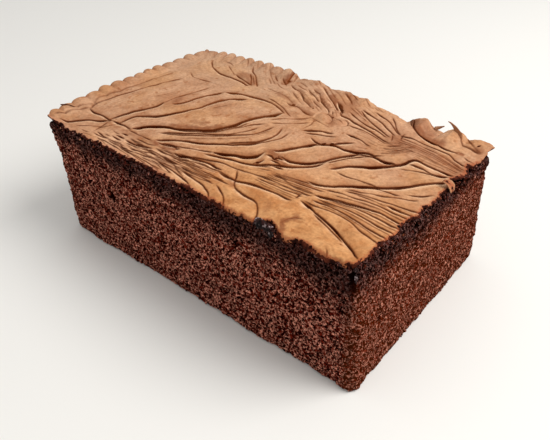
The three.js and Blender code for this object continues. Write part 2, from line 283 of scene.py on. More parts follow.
FRONT_FOLDS = [
    (0.85, [(18, -37), (22, -42.5), (24.5, -46.5), (28, -49.8), (34, -51.3), (43, -51.9), (47.5, -55),
            (53, -62), (56, -69)]),
    (0.45, [(-20, -50), (-10, -49.8), (0, -49.3), (8, -49.6), (15, -49), (24, -49.4)]),
    (0.85, [(18, -53.5), (21, -54.3), (26, -56.8), (30, -60), (34, -65), (36, -70)]),
    (0.55, [(-8, -52), (0, -52.5), (10, -53), (17, -53.4)]),
    (0.85, [(-6, -54), (-2, -54.5), (5, -56.2), (9, -56.5), (13, -57.2), (16, -58.5), (20, -60.5),
            (24, -65), (26, -70)]),
    (0.95, [(-23, -56), (-16, -56.5), (-10, -57.3), (-5, -58.3), (0, -59.3), (5, -61), (9, -64)]),
    (0.40, [(-23, -58), (-19, -59), (-15, -61)]),
    (0.60, [(-36, -51.8), (-32, -52), (-29, -52.2), (-25, -51.8)]),
    (0.70, [(-24, -51.4), (-18, -52.3), (-15, -52), (-10, -50.8)]),
    (0.50, [(-37, -57.4), (-30, -55.8), (-24, -55.6)]),
    (0.50, [(-34, -48), (-28, -47.8), (-22, -48), (-17, -47), (-13, -45.5)]),
    (0.50, [(-20, -49.5), (-15, -47.5), (-10, -46), (-3, -44.6), (5, -44), (11, -43.8)]),
    (0.28, [(-14, -48.5), (-5, -47), (4, -45.8), (11, -45.5)]),
    (0.45, [(-39, -54.5), (-36, -54), (-34, -52.5), (-32, -51.8)]),
    (0.35, [(-42, -58.4), (-36, -57), (-32, -56.5)]),
    (1.00, [(-55, -52.3), (-51, -52), (-46.5, -51.8), (-42, -50.8), (-38, -50), (-34, -49.2)]),
    (0.55, [(-50, -48), (-45, -47.4), (-40, -47.2), (-35.5, -46)]),
    (0.85, [(-62.5, -48.5), (-59, -47.9), (-56.5, -48.6)]),
    (1.05, [(-64, -51.5), (-60, -51), (-55.5, -51.9)]),
    (0.95, [(-65.5, -53.6), (-60.5, -53.7), (-55.5, -54.5)]),
    (0.95, [(-76, -55.9), (-72, -56.3), (-68, -57.4), (-64.5, -57)]),
    (0.40, [(-71, -54.2), (-68, -54.6), (-65, -55)]),
    (0.85, [(-54.5, -56.4), (-52, -57.6), (-49, -58.2), (-46, -57.6)]),
    (0.70, [(-47, -59.3), (-44, -58.4), (-40.5, -58)]),
    (0.50, [(-70, -60.4), (-64, -60), (-58, -60.4)]),
    (0.30, [(-70, -49.6), (-66, -50), (-62, -49.9)]),
    (0.40, [(-54, -49.4), (-49, -49.6), (-44, -48.6)]),
    (0.30, [(-51, -54.8), (-46, -55.4), (-41, -55.2)]),
    (0.45, [(-80, -44), (-79.4, -48), (-78.4, -53), (-78, -57)]),
    (0.50, [(-53, -53.5), (-38.4, -52.6), (-30, -51), (-16, -52.2), (-2, -57.4)]),
    (0.55, [(-47, -56.1), (-32.6, -54.9), (-20, -56.1), (-8, -60.5)]),
    (0.55, [(-52.8, -58.5), (-39.4, -59.9), (-27, -60.7), (-17.8, -62.3), (-11, -65)]),
    (0.50, [(-64, -58.3), (-47.4, -58.8), (-34.4, -61.3), (-22.6, -64)]),
    (0.45, [(-77, -58.2), (-65.6, -57.4), (-50, -56.6)]),
    (0.40, [(-58, -60.6), (-48, -61.4), (-40, -63), (-34, -66)]),
    (0.40, [(-72, -60), (-64, -62), (-56, -64)]),
    (0.50, [(92, -60), (99, -67)]),
    (0.22, [(72, -50.4), (68, -51.2), (66, -54), (65.6, -58)]),
]

# Bundles of wrinkles between two routes: (count, strength, share of the way that each runs, first route,
# last route)
WRINKLES = [
    (9, 0.40, 0.9, [(35, -29), (50, -26.5), (66, -23.5)], [(28, -40), (48, -39.5), (61, -39)]),
    (8, 0.30, 0.9, [(67, 44), (85, 44.5), (109, 38)], [(64, 30), (85, 31), (109, 31.5)]),
    (5, 0.28, 0.45, [(-20, 61), (-6, 57), (8, 50), (20, 41)], [(-22, 48), (-12, 45), (-2, 39), (10, 34)]),
    (3, 0.40, 0.9, [(-9, 2), (-15, -10), (-28, -22), (-50, -33)],
     [(8, 2), (0, -14), (-22, -30), (-40, -41)]),
    (7, 0.28, 0.8, [(66, 21), (74, 27), (82, 38)], [(62, 31), (66, 34), (72, 41)]),
    (4, 0.30, 0.25, [(-76, -50), (-60, -49.5), (-40, -51)], [(-74, -60), (-56, -60.5), (-34, -60)]),
    (9, 0.38, 0.25, [(-54, -49), (-30, -50.5), (0, -50)], [(-52, -60.5), (-25, -61), (6, -60)]),
    (9, 0.45, 0.6, [(-34, -44.5), (-12, -44), (10, -43.5), (25, -45.5)],
     [(-38, -55), (-18, -55), (2, -54.5), (18, -52.5)]),
]
WRINKLE_SEED = 7
WRINKLE_STEP = 1.5
WRINKLE_STRAY = 0.25    # of the gap between two wrinkles
WRINKLE_LENGTHS = (0.7, 1.3)
WRINKLE_STRENGTHS = (0.5, 1.4)
WRINKLE_FEWEST = 3    # points of the shortest wrinkle

# Puffed places: (x, y, radius, height)
PUFFS = [
    (21, 32.4, 5.4, 1.3), (31.6, 34.2, 4.6, 1.2), (12, 48.6, 4.5, 0.6), (-14, 48, 4.5, 0.5),
    (3, 54, 4.0, 0.5),
]

# Dark spots where folds pinch, drawn as the fold lines are, some burnt and some painted shade in the pinch:
# (x, y, radius)
SPOTS = [
    (38, 9.8, 1.3), (42, 12.5, 1.0), (57, 14.3, 0.8), (9, 38.5, 0.7), (-2.5, 34, 1.1), (105, 65.5, 0.6),
    (103, 60, 0.6), (95, -54, 0.5), (94, -5, 0.5), (27, -17, 0.9), (22, -26, 0.8), (-25, 57, 1.1),
    (23.5, 47, 0.9), (9.6, 37.7, 0.6), (25, 36, 0.5),
]
SPOT_RAGGED = 0.8
SPOT_CELL = 1.6
SPOT_CORE = 0.8    # share of the radius
SPOT_REACH = 1.6    # share of the radius
SPOT_DARK = 0.9

# Places that browned more than the rest, and places of painted shade beside flaps, rolls, lens edges and
# notches; below 0, paler places, most of them painted highlights on ridges, lips and the strips between
# lines:
# (how much, radius, middle line)
BROWNED_AND_PAINTED_LIGHT = [
    (0.60, 9.0, [(70, 60), (76, 58)]),
    (0.70, 5.5, [(64, 61), (68, 57), (75, 54), (86, 52.6)]),
    (0.75, 2.2, [(97, 50.8), (100, 50.4)]),
    (0.30, 10.0, [(62, 50), (70, 50)]),
    (0.60, 4.0, [(61, 64), (63, 61)]),
    (0.50, 3.0, [(103, 58), (107, 58)]),
    (0.45, 5.0, [(-64, -1), (-63, -7)]),
    (0.55, 7.0, [(-55, 47), (-43, 41)]),
    (0.65, 3.6, [(-43, -26), (-33, -21.5), (-26, -17), (-21, -11)]),
    (0.45, 4.0, [(-36, -16), (-29, -14.5)]),
    (0.45, 5.0, [(37, 11), (44, 13)]),
    (0.65, 6.0, [(22, -14), (33, -18)]),
    (0.50, 3.0, [(20, -19), (22, -28)]),
    (0.40, 4.0, [(0, -29), (14, -21)]),
    (0.40, 4.5, [(-78, -45.5), (-55, -45.5), (-30, -44)]),
    (0.75, 5.0, [(-38, -44), (-24, -42)]),
    (0.50, 11.0, [(66, 39), (104, 38)]),
    (0.35, 3.0, [(-8, -41.5), (3, -40.5)]),
    (0.70, 3.2, [(68, -50.8), (66, -54), (65.9, -58.4), (68.5, -63)]),
    (0.35, 3.2, [(50, -50), (52, -53), (54, -57)]),
    (0.50, 4.0, [(-20, 39.2), (-10, 38), (-3, 35)]),
    (0.60, 3.5, [(9, 56.5), (14, 53), (20, 48.5), (24, 44)]),
    (0.50, 3.0, [(0, 33.4), (8, 31.8), (14, 31)]),
    (0.45, 2.8, [(-13, 51.6), (-5, 47.4)]),
    (0.45, 3.0, [(-2, 57), (4, 52.5), (8, 49)]),
    (0.45, 2.5, [(11, 47.5), (17, 44)]),
    (0.45, 5.0, [(15, 63), (21, 60.5), (27, 55)]),
    (1.00, 2.8, [(-28, 67), (-26.2, 60), (-24.6, 54)]),
    (0.45, 3.0, [(24, 37), (28, 31), (29, 27)]),
    (-0.40, 2.6, [(7, 52.5), (11, 49.5), (16, 45.5)]),
    (-0.35, 2.8, [(-17, 50), (-10, 46.5)]),
    (-0.55, 8.0, [(-92, -56), (-60, -57), (-20, -57), (0, -56)]),
    (-0.85, 2.4, [(-74, -59.2), (-66, -59.2)]),
    (-0.75, 1.8, [(-63.5, -59), (-60, -58.4)]),
    (-0.80, 1.6, [(-59, -52.8), (-54, -53.2)]),
    (-0.75, 1.6, [(-52, -53.8), (-44, -53.2)]),
    (-0.75, 1.6, [(-53, -59.6), (-47, -59.8)]),
    (-0.75, 1.6, [(-30, -53.6), (-18, -53.8), (-8, -52.6)]),
    (-0.70, 1.4, [(-36, -50.4), (-24, -50), (-16, -49.8)]),
    (-0.60, 1.4, [(-4, -46.6), (4, -45.4), (10, -46)]),
    (-0.30, 9.0, [(76, -18), (92, -24), (96, -36)]),
    (0.45, 4.0, [(42, -27.5), (50, -27), (60, -26.5)]),
    (0.35, 4.0, [(52, 2), (56, -4)]),
    (0.55, 3.0, [(22, -45), (26, -49)]),
    (0.30, 6.0, [(46, 36), (62, 33)]),
    (0.30, 5.0, [(20, 52), (40, 46)]),
    (0.30, 6.0, [(-10, 46), (8, 40)]),
    (0.75, 4.5, [(-28, 63), (-25, 54)]),
    (-0.75, 1.9, [(-17, -37.2), (-10, -35.6), (-4, -33.8)]),
    (-0.60, 1.4, [(41, 13.4), (44, 14.2)]),
    (-0.50, 1.3, [(15.4, 37), (15, 33), (15.6, 30)]),
    (-0.70, 1.4, [(-66, -57.9), (-52, -57.4), (-40, -57.2), (-28, -58.4)]),
    (-0.70, 1.3, [(-50, -54.6), (-38, -53.8), (-24, -54)]),
    (-0.60, 1.3, [(-76, -59.6), (-64, -60.4), (-50, -60.2), (-36, -62.4)]),
]
PATCH_STRAY = 0.35    # share of the radius
PATCH_CELL = 0.6    # share of the radius

# Fine wrinkles fill the crust between the folds and follow them, save on its smooth places:
# (radius, middle line)
SMOOTH_PLACES = [
    (9.0, [(-6, 16), (-25, 8), (-40, -10), (-60, -32)]),
    (9.0, [(-75, 16), (-82, -8), (-90, -34)]),
    (6.0, [(-108, -42), (-98, -47)]),
    (10.0, [(-90, 38), (-70, 32), (-52, 31)]),
    (7.0, [(-98, 58), (-103, 20), (-106, -25)]),
    (6.0, [(-22, 34), (-34, 33)]),
    (5.0, [(-52, 4), (-58, -12), (-68, -24)]),
    (9.0, [(52, -47), (75, -53), (100, -60)]),
    (7.0, [(33, -5), (45, 4)]),
    (6.5, [(64, -8), (80, 6), (99, 21)]),
    (4.5, [(96, 1), (103, 12)]),
    (5.0, [(14, -14), (21, 0), (27, 9)]),
    (5.0, [(70, 60), (80, 56), (95, 53)]),
    (4.0, [(2, -22), (-10, -30)]),
    (4.0, [(58, 57), (62, 51)]),
    (5.0, [(30, -55), (44, -58)]),
    (3.5, [(14, -60), (24, -60)]),
]
SMOOTH_FADE = (0.6, 1.15)    # shares of the radius
FINE_GAP = 2.2
SMOOTH_GAP = 30.0
FINE_STRENGTH = (0.08, 0.34)
FINE_TRIES = 7000
FINE_LEAST = 7.0
FINE_MOST = 45.0
FINE_STEP = 1.5
FINE_SEED = 8
FINE_MARGIN = (6.0, 4.0)
FINE_STEADY = 0.5    # how much a wrinkle keeps to its way rather than to the grain
FOLD_CLEAR = 0.75    # shares of the gap that are kept clear beside a fold and beside a wrinkle
WRINKLE_CLEAR = 0.85
GRAIN_CELL = 4.0
GRAIN_MARGIN = 8.0
GRAIN_NEAR = 6.0    # square of how close a fold leads the grain in full
GRAIN_FALL = 1.5    # how fast that falls further off
TAKEN_CELL = 0.5

# Shape of one fold
FOLD_REACH = 12.0
FOLD_LEAST_REACH = 0.25
FOLD_STEP = 2.2
FOLD_TAPER = 3.0
FOLD_LEAST_TAPER = 0.5
FOLD_TAPER_ROUND = 0.6
FOLD_BLEND = 4    # how sharply the deepest of the folds at a place wins
FOLD_UNEVEN = 0.35
FOLD_UNEVEN_CELL = 6.0
FOLD_UNEVEN_ROW = 31    # sets folds of different strengths on different rows of the noise
FOLD_SWELL = 0.9
FOLD_STEEP = 0.3
FOLD_STEEP_WIDTH = 1.4
FOLD_SLIT = 0.2
FOLD_SLIT_WIDTH = 0.45
# Dark lines along the folds, which are painted shade in their creases
LINE_HALF = 0.12
LINE_THINNEST = 0.1
LINE_SOFT = 0.24
LINE_UNEVEN = 0.7
LINE_UNEVEN_CELL = 13.0
LINE_UNEVEN_ROW = 17
CREASE_DARK = 1.3
CREASE_REACH = 1.3
LINE_FADE = (-0.18, 0.34)    # from the edge of a dark line, where it is darkest and where it ends
LEAN = (-0.66, 0.75)    # towards the back left
FLAP_LEAN = (0.75, 0.66)    # towards the back right
FLAP_LIFT = 1.1
FLAP_REACH = 3.6
FLAP_SWELL = 1.9
LEAN_SHARE = 0.6
LEAN_WIDTH = 2.8
# Banks beside a fold: painted shade up the lean and a painted highlight down it
BANK_WIDTH = 2.0
BANK_LEAST = 0.3
BANK_GAIN = 0.6
STREAK_WIDTH = 0.9
STREAK_LENGTH = 9.0
STREAK_HEIGHT = 0.05
WANDER = 0.5
WANDER_CELL = 8.0
WANDER_SEED = 20

# Meshes
CRUST_COLUMNS = 560
CRUST_ROWS = 328
CRUMB_COLUMNS = 840
WALL_ROWS = 96
EDGE_ROWS = 6
SHOULDER_ROWS = 5
SHOULDER_RADIUS = 2.2
HIDDEN_ROWS = [(0.5, 3.0), (4.0, 6.0)]    # rows of the crumb that the crust hides: (drop, inset)

# Crumb: larger holes by size as (cell, share of cells with a hole, least radius, most radius, depth)
# Each hole also takes painted shade, darkest in its middle
PITS = [
    (5.5, 0.30, 0.9, 1.4, 0.9),
    (26.0, 0.25, 1.6, 2.4, 1.8),
]
PIT_SEED = 50
PIT_PLACES = (0.1, 0.9)    # where in its cell a pit may lie
NO_PIT = 1e-6    # radius that stands for none
# Holes that stand out, painted nearly black inside as shade: (outline place x, y, height, radius, depth)
HOLES = [
    (-61.8, -64, 42.6, 3.7, 3.0),
    (89, -64, 37, 1.9, 2.0),
    (110, 31.4, 70.6, 6.2, 4.0),
    (110, 43, 73, 2.6, 2.6),
    (110, 11, 74, 3.0, 3.5),
    (110, -14, 70, 2.6, 3.0),
    (110, -64, 71.5, 2.8, 1.2),
    (110, -64, 68, 2.8, 1.4),
    (110, -64, 64.6, 2.4, 1.0),
]
HOLE_UNEVEN = 0.25
HOLE_UNEVEN_CELL = 2.5
HOLE_DARK = 3.0    # how soon the painted shade in a hole is at its darkest
WALL_WAVES = [(0.5, 26.0, 70), (0.45, 7.0, 71), (0.5, 2.4, 72)]    # (height, cell, seed)
CRUMB_GRAIN_SEED = 40
CRUMB_GRAIN = 0.36
CRUMB_JITTER = 0.22
CRUMB_DROP = 1.6    # of the crumb's top under the crown, and more along the back
BACK_DROP = 0.6
BACK_DROP_BAND = (9.0, 3.0)
TOP_WAVE = 0.5
TOP_WAVE_CELL = 2.2
EDGE_SPREAD = 0.57    # of a rounded edge when it is unrolled, in radii
FLAT_BASE = (0.6, 1.0)    # tilts between which the relief ends
TILT_RISE = 0.6
STRAND_DEPTH = 0.9
STRAND_CELL = 1.6
STRAND_STRETCH = 0.2
STRAND_TOP = 0.2
# How deep under the crust the crumb is half darkened, seared there and in painted shade under the
# overhanging crust, most of all towards the front right corner: (place, depth) along the front and across
# the plain end
FRONT_SEAR_AND_SHADE = [
    (-106, 7.5), (-80, 9.0), (-50, 10.5), (-20, 12.5), (10, 13.5), (50, 14.0), (70, 16.0), (92, 18.5),
    (108, 21.0),
]
END_SEAR_AND_SHADE = [(-60, 13.5), (-20, 12.5), (10, 11.5), (30, 10.0), (50, 8.0)]
END_TURN = (0.2, 0.8)    # how far the walls have turned to the end where its depths start and take over
SEAR_AND_SHADE_FADE = (0.4, 1.7)    # shares of the depth
SEAR_AND_SHADE_UNEVEN = [(0.16, 9.0, 63), (0.12, 2.4, 66)]    # (share of the depth, cell, seed)
SEAR_AND_SHADE_PATCHES = [(2.5, 4.0, 64), (1.5, 1.5, 68)]    # (height, cell, seed)

# Scraps of crust that stand off it: (name, route, widths along it, way its width runs, whole in the middle,
# dark)
SCRAPS = [
    ("back_spike",
     [(91, 63.5, 76.4), (89, 65.4, 79.6), (86.4, 66.1, 82.0), (84, 66.2, 83.6), (82, 66.1, 84.4)],
     (3.0, 3.6, 2.6, 1.4, 0.3), (-0.65, -0.3, -0.75), 3.0, 0.4),
    ("back_chip", [(74.2, 66.6, 77.3), (77, 67.2, 78.6), (79.6, 67.2, 80.2)],
     (2.4, 1.9, 0.4), (-0.3, -0.6, -0.6), 3.0, 0.35),
    ("flake_lip", [(58.3, 67.4, 76.6), (60.2, 65, 78.3), (62.2, 61.8, 78.8), (64, 59, 78.4)],
     (1.6, 2.6, 2.2, 0.5), (0.6, 0.4, 0.7), 3.0, 0.6),
    ("corner_curl",
     [(-109.7, -47.1, 79.4), (-111.4, -48.6, 80.6), (-113, -50.3, 81.6), (-114.3, -53.2, 82.5)],
     (3.0, 3.2, 2.4, 0.4), (-0.5, 0.2, -0.8), 3.0, 0.75),
    ("torn_flap", [(105.6, 19.0, 77.6), (108.2, 18.8, 77.7), (110.2, 18.6, 76.2), (111.0, 18.4, 73.6)],
     (2.6, 4.6, 5.6, 3.6), (0.0, 1.0, 0.0), 0.75, 0.15),
]
SCRAP_THICKNESS = 0.7
SCRAP_STEP = 0.6
SCRAP_COLUMNS = 8
SCRAP_CURL = 0.06
SCRAP_UNEVEN = 0.12
SCRAP_WAVES = (9.0, 2.0)    # along and across
SCRAP_THIN = 0.8    # how much thinner its edges are
SCRAP_BORDER = 3.0    # how far its edges count as inside the torn border
SCRAP_BROWN = 0.25

# Blisters of burnt batter: middle and half sizes
BLISTERS = [
    ((57.2, -63.4, 76.0), (3.3, 2.5, 2.1)),
    ((61.6, -63.6, 75.6), (2.3, 2.0, 1.9)),
    ((64.2, -64.6, 73.6), (1.5, 1.2, 1.6)),
    ((109.2, -62.6, 75.0), (1.3, 1.1, 0.9)),
    ((110.0, -62.8, 70.8), (0.8, 0.7, 2.4)),
]
BLISTER_ROUNDS = 4
BLISTER_DENT = 0.3
COARSE_DENTS = 3.0    # dents across a half size
COARSE_DENT_SEED = 100
FINE_DENTS = 7.0
FINE_DENT_SEED = 110
FINE_DENT_SHARE = 0.5
LUMP_ROUNDS = 2

# Loose bits: how many, the range of their radius, and their places on the walls
BIT_STRETCH = (0.65, 1.35)
BIT_BUMPS = (0.75, 1.25)
CRUMB_SEED = 120
CRUMBS = 340
CRUMB_RADIUS = (0.35, 1.0)
CRUMB_LOW_SHARE = 0.55    # of the crumbs that lie along the base
CRUMB_LOW_BAND = 3.5
CRUMB_LOW_RISE = 1.8    # radii over the base
CRUMB_HEIGHTS = (4.0, 68.0)
CRUMB_SINK = 0.2    # into the wall, for each millimetre that its radius lacks of 1
BURNT_SEED = 121
BURNT_BITS = 220
BURNT_RADIUS = (0.3, 0.7)
BURNT_REACH = 5.0
BURNT_SEAR = (0.2, 0.8)
SHRED_SEED = 122
SHREDS = 130
SHRED_RADIUS = (0.3, 0.8)
SHRED_REACH = 3.0
SHRED_FLATNESS = 0.6
SHRED_TORN = (-1.5, -0.2)
SHRED_BROWN = (0.4, 0.9)
TORN_SIDES = 0.3    # least share of a wall's normal that faces the front or the plain end
TORN_GATHER = 1.5
TORN_OUT = (-0.5, 0.3)
TORN_TUCK = 1.2
TORN_TUCK_BAND = 1.5

# Camera, solved from the photograph, and light; places are in metres but for the camera's
CAMERA_PLACE = (221.066, -239.106, 247.696)
CAMERA_AZIMUTH = 41.433
CAMERA_ELEVATION = 35.283
CAMERA_ROLL = -1.614
CAMERA_LENS = 42.015
SENSOR_WIDTH = 36.0
FLOOR_SIZE = 6.0
LIGHT_PLACE = (0.75, 0.35, 1.0)
LIGHT_TARGET = (0.0, 0.0, 0.05)
LIGHT_SIZE = 0.9
LIGHT_POWER = 14.0
LIGHT_COLOUR = (1.0, 0.98, 0.95)
SKY_COLOUR = (1.0, 0.99, 0.97, 1.0)
SKY_STRENGTH = 0.62

# Where finishes change over the plan, in metres: from none to full along the loaf, and across it
END_TOAST = (-0.05, 0.04)
FRONT_TOAST = (0.02, -0.056)
PALE_BACK = [(0.03, -0.03), (0.0, 0.04)]
PALE_BACK_SHARE = 0.55
# Where the painted shade of the fold lines turns browner
SOFT_LINES = [(0.06, 0.0), (-0.045, 0.02)]
# Painted warmer light on the crumb wall of the plain end, and its share
END_WALL_LIGHT = (0.105, 0.109)
END_WALL_LIGHT_SHARE = 0.4

# Stains of the crust, and painted shade and highlights over it, in their order: (what each follows, values
# where it starts and where it is full, its share when full, colour)
CRUST_STAINS_AND_SHADING = [
    ("blotch", 0.42, 0.68, 0.40, (202, 150, 102)),
    ("fleck", 0.60, 0.72, 0.50, (150, 86, 46)),
    # Browning, with painted shade
    ("browned_and_painted_light", 0.0, 1.0, 1.00, (128, 70, 44)),
    # Paler skin, with painted highlights
    ("browned_and_painted_light", 0.0, -1.0, 0.55, (236, 190, 154)),
    ("streak", -0.8, 0.8, 0.22, (140, 88, 54)),
    # Painted shade in the low ground between the folds
    ("valley_shade", 0.3, 1.8, 0.16, (128, 76, 44)),
    # Painted shade on the bank up the lean of each fold
    ("bank_shading", 0.05, 0.9, 0.50, (120, 60, 26)),
    # Painted highlight on the lip down the lean of each fold
    ("bank_shading", -0.04, -0.45, 0.70, (244, 204, 166)),
]

NOISE_TABLE = 64    # cells after which noise repeats
TINY = 1e-9    # least length that something is divided by

# Map of a piece's surface, in millimetres to the side of the square that holds it
BAKE_MAP = "OFBake"
CRUMB_SHEET = 356.0
SHEET_MARGIN = 2.0
MAP_MARGIN = 0.01    # share of the square
BASE_GAP = 8.0
HIDDEN_GAP = 6.0
HIDDEN_SCALE = 0.4


def srgb(red, green, blue):
    """A colour given as 0 to 255 on screen, in the linear values that a shader takes."""
    def linear(c):
        c /= 255
        return c / 12.92 if c <= 0.04045 else ((c + 0.055) / 1.055) ** 2.4

    return (linear(red), linear(green), linear(blue), 1.0)


def soft_noise(x, y, cell, seed):
    """Smooth noise between -1 and 1 over points of a plane, with features of about one cell."""
    table = np.random.default_rng(seed).uniform(-1, 1, (NOISE_TABLE, NOISE_TABLE))
    column = np.floor(x / cell).astype(int)
    row = np.floor(y / cell).astype(int)
    across = x / cell - column
    up = y / cell - row
    across = across * across * (3 - 2 * across)
    up = up * up * (3 - 2 * up)

    def corner(i, j):
        return table[(column + i) % NOISE_TABLE, (row + j) % NOISE_TABLE]

    low = corner(0, 0) * (1 - across) + corner(1, 0) * across
    high = corner(0, 1) * (1 - across) + corner(1, 1) * across
    return low * (1 - up) + high * up


def layered_noise(x, y, layers):
    """Noise summed from layers of (height, cell, seed)."""
    return sum(tall * soft_noise(x, y, cell, seed) for tall, cell, seed in layers)


def hump(distance, half):
    """A smooth hump, 1 in the middle and 0 from its half width on."""
    t = np.clip(np.abs(distance) / half, 0, 1)
    return (1 - t * t) ** 2


def smoothstep(value, start, end):
    """A smooth rise from 0 at the start to 1 at the end."""
    t = np.clip((value - start) / (end - start), 0, 1)
    return t * t * (3 - 2 * t)


def crown_height(x, y):
    """Height of the smooth crown over points of the plan."""
    u = np.clip(x / HALF_LENGTH, -1, 1)
    v = np.clip(y / HALF_WIDTH, -1, 1)
    lean = LEAN_ALONG * u + LEAN_ACROSS * v + TWIST * u * v
    dome_along = (DOME_MIDDLE + DOME_BACK * v) * (1 - u * u)
    dome_across = (SAG_MIDDLE - SAG_LEFT * u) * (1 - v * v)
    return WALL_HEIGHT + lean + dome_along + dome_across


def back_rim_height(x):
    """Height of the back rim over the crown."""
    place, height = zip(*BACK_RIM)
    return np.interp(x, place, height)


# Folds

def smooth_route(points, step=FOLD_STEP):
    """Points every step along a smooth curve through the given ones."""
    p = np.array(points, float)
    padded = np.vstack([2 * p[0] - p[1], p, 2 * p[-1] - p[-2]])
    stretches = []
    for k in range(len(p) - 1):
        a, b, c, d = padded[k:k + 4]
        count = max(int(np.linalg.norm(c - b) / step), 2)
        t = np.linspace(0, 1, count, endpoint=False)[:, None]
        bend = (2 * a - 5 * b + 4 * c - d) * t ** 2 + (3 * b - a - 3 * c + d) * t ** 3
        stretches.append(0.5 * (2 * b + (c - a) * t + bend))
    return np.vstack(stretches + [p[-1:]])


def wander(route, seed):
    """A route that strays a little from its smooth line, as a wrinkle does."""
    stray = [soft_noise(route[:, 0], route[:, 1], WANDER_CELL, seed + k) for k in (0, 1)]
    return route + WANDER * np.stack(stray, -1)


def wrinkle_bundle(draw, count, strength, part, first, last):
    """Wrinkles spread between two routes, uneven in strength and length."""
    rails = [smooth_route(route, WRINKLE_STEP) for route in (first, last)]
    samples = max(len(rail) for rail in rails)
    places = np.linspace(0, 1, samples)
    even = []
    for rail in rails:
        own = np.linspace(0, 1, len(rail))
        even.append(np.stack([np.interp(places, own, rail[:, k]) for k in (0, 1)], -1))
    folds = []
    for k in range(count):
        share = np.clip((k + draw.uniform(-WRINKLE_STRAY, WRINKLE_STRAY)) / (count - 1), 0, 1)
        run = max(int(min(part * draw.uniform(*WRINKLE_LENGTHS), 1) * samples), WRINKLE_FEWEST)
        start = int(draw.uniform(0, 1) * (samples - run))
        line = even[0] * (1 - share) + even[1] * share
        folds.append((strength * draw.uniform(*WRINKLE_STRENGTHS), line[start:start + run]))
    return folds


def measure_route(x, y, route, higher=LEAN):
    """Distance to a route, place along it, its length, and how much a point is on its higher side."""
    start = route[:-1]
    span = route[1:] - start
    length = np.hypot(span[:, 0], span[:, 1])
    away_x = x[:, None] - start[:, 0]
    away_y = y[:, None] - start[:, 1]
    share = np.clip((away_x * span[:, 0] + away_y * span[:, 1]) / length ** 2, 0, 1)
    away_x -= share * span[:, 0]
    away_y -= share * span[:, 1]
    squared = away_x ** 2 + away_y ** 2
    nearest = squared.argmin(1)
    point = np.arange(len(x))
    side = np.sign(span[nearest, 0] * away_y[point, nearest] - span[nearest, 1] * away_x[point, nearest])
    lean = (span[:, 0] * higher[1] - span[:, 1] * higher[0]) / length
    travelled = np.concatenate([[0], np.cumsum(length)])
    along = travelled[nearest] + share[point, nearest] * length[nearest]
    return np.sqrt(squared[point, nearest]), along, travelled[-1], side * lean[nearest]


def grain_map(folds):
    """Angle of the crust's grain over a coarse grid, led by the folds all round.

    Angles are doubled while they are summed, because a fold has no forward end.
    """
    sides = [half + GRAIN_MARGIN for half in (HALF_LENGTH, HALF_WIDTH)]
    x, y = np.meshgrid(*(np.arange(-side, side + GRAIN_CELL, GRAIN_CELL) for side in sides), indexing="ij")
    twice = np.zeros(x.shape + (2,))
    for strength, route in folds:
        span = np.diff(route, axis=0)
        middle = (route[1:] + route[:-1]) / 2
        angle = 2 * np.arctan2(span[:, 1], span[:, 0])
        squared = (x[..., None] - middle[:, 0]) ** 2 + (y[..., None] - middle[:, 1]) ** 2
        weight = strength * np.hypot(span[:, 0], span[:, 1]) / (squared + GRAIN_NEAR) ** GRAIN_FALL
        twice[..., 0] += weight @ np.cos(angle)
        twice[..., 1] += weight @ np.sin(angle)
    return np.arctan2(twice[..., 1], twice[..., 0]) / 2


def browning_and_painted_light(x, y):
    """How much the crust browned more than the rest at points of the plan, with painted shade, and below 0
    how much paler it is there, with painted highlights.
    """
    browned_and_painted_light = np.zeros_like(x)
    for amount, radius, middle in BROWNED_AND_PAINTED_LIGHT:
        stray = PATCH_STRAY * radius * soft_noise(x, y, PATCH_CELL * radius, seed=9)
        away = measure_route(x, y, smooth_route(middle))[0] + stray
        part = amount * hump(np.maximum(away, 0), radius)
        browned_and_painted_light = np.where(np.abs(part) > np.abs(browned_and_painted_light), part, browned_and_painted_light)
    return browned_and_painted_light


def fine_gap(x, y):
    """How far apart fine wrinkles lie at points of the plan."""
    smooth = np.zeros_like(x)
    for radius, middle in SMOOTH_PLACES:
        distance = measure_route(x, y, smooth_route(middle))[0]
        smooth = np.maximum(smooth, 1 - smoothstep(distance, *(share * radius for share in SMOOTH_FADE)))
    return FINE_GAP + (SMOOTH_GAP - FINE_GAP) * smooth


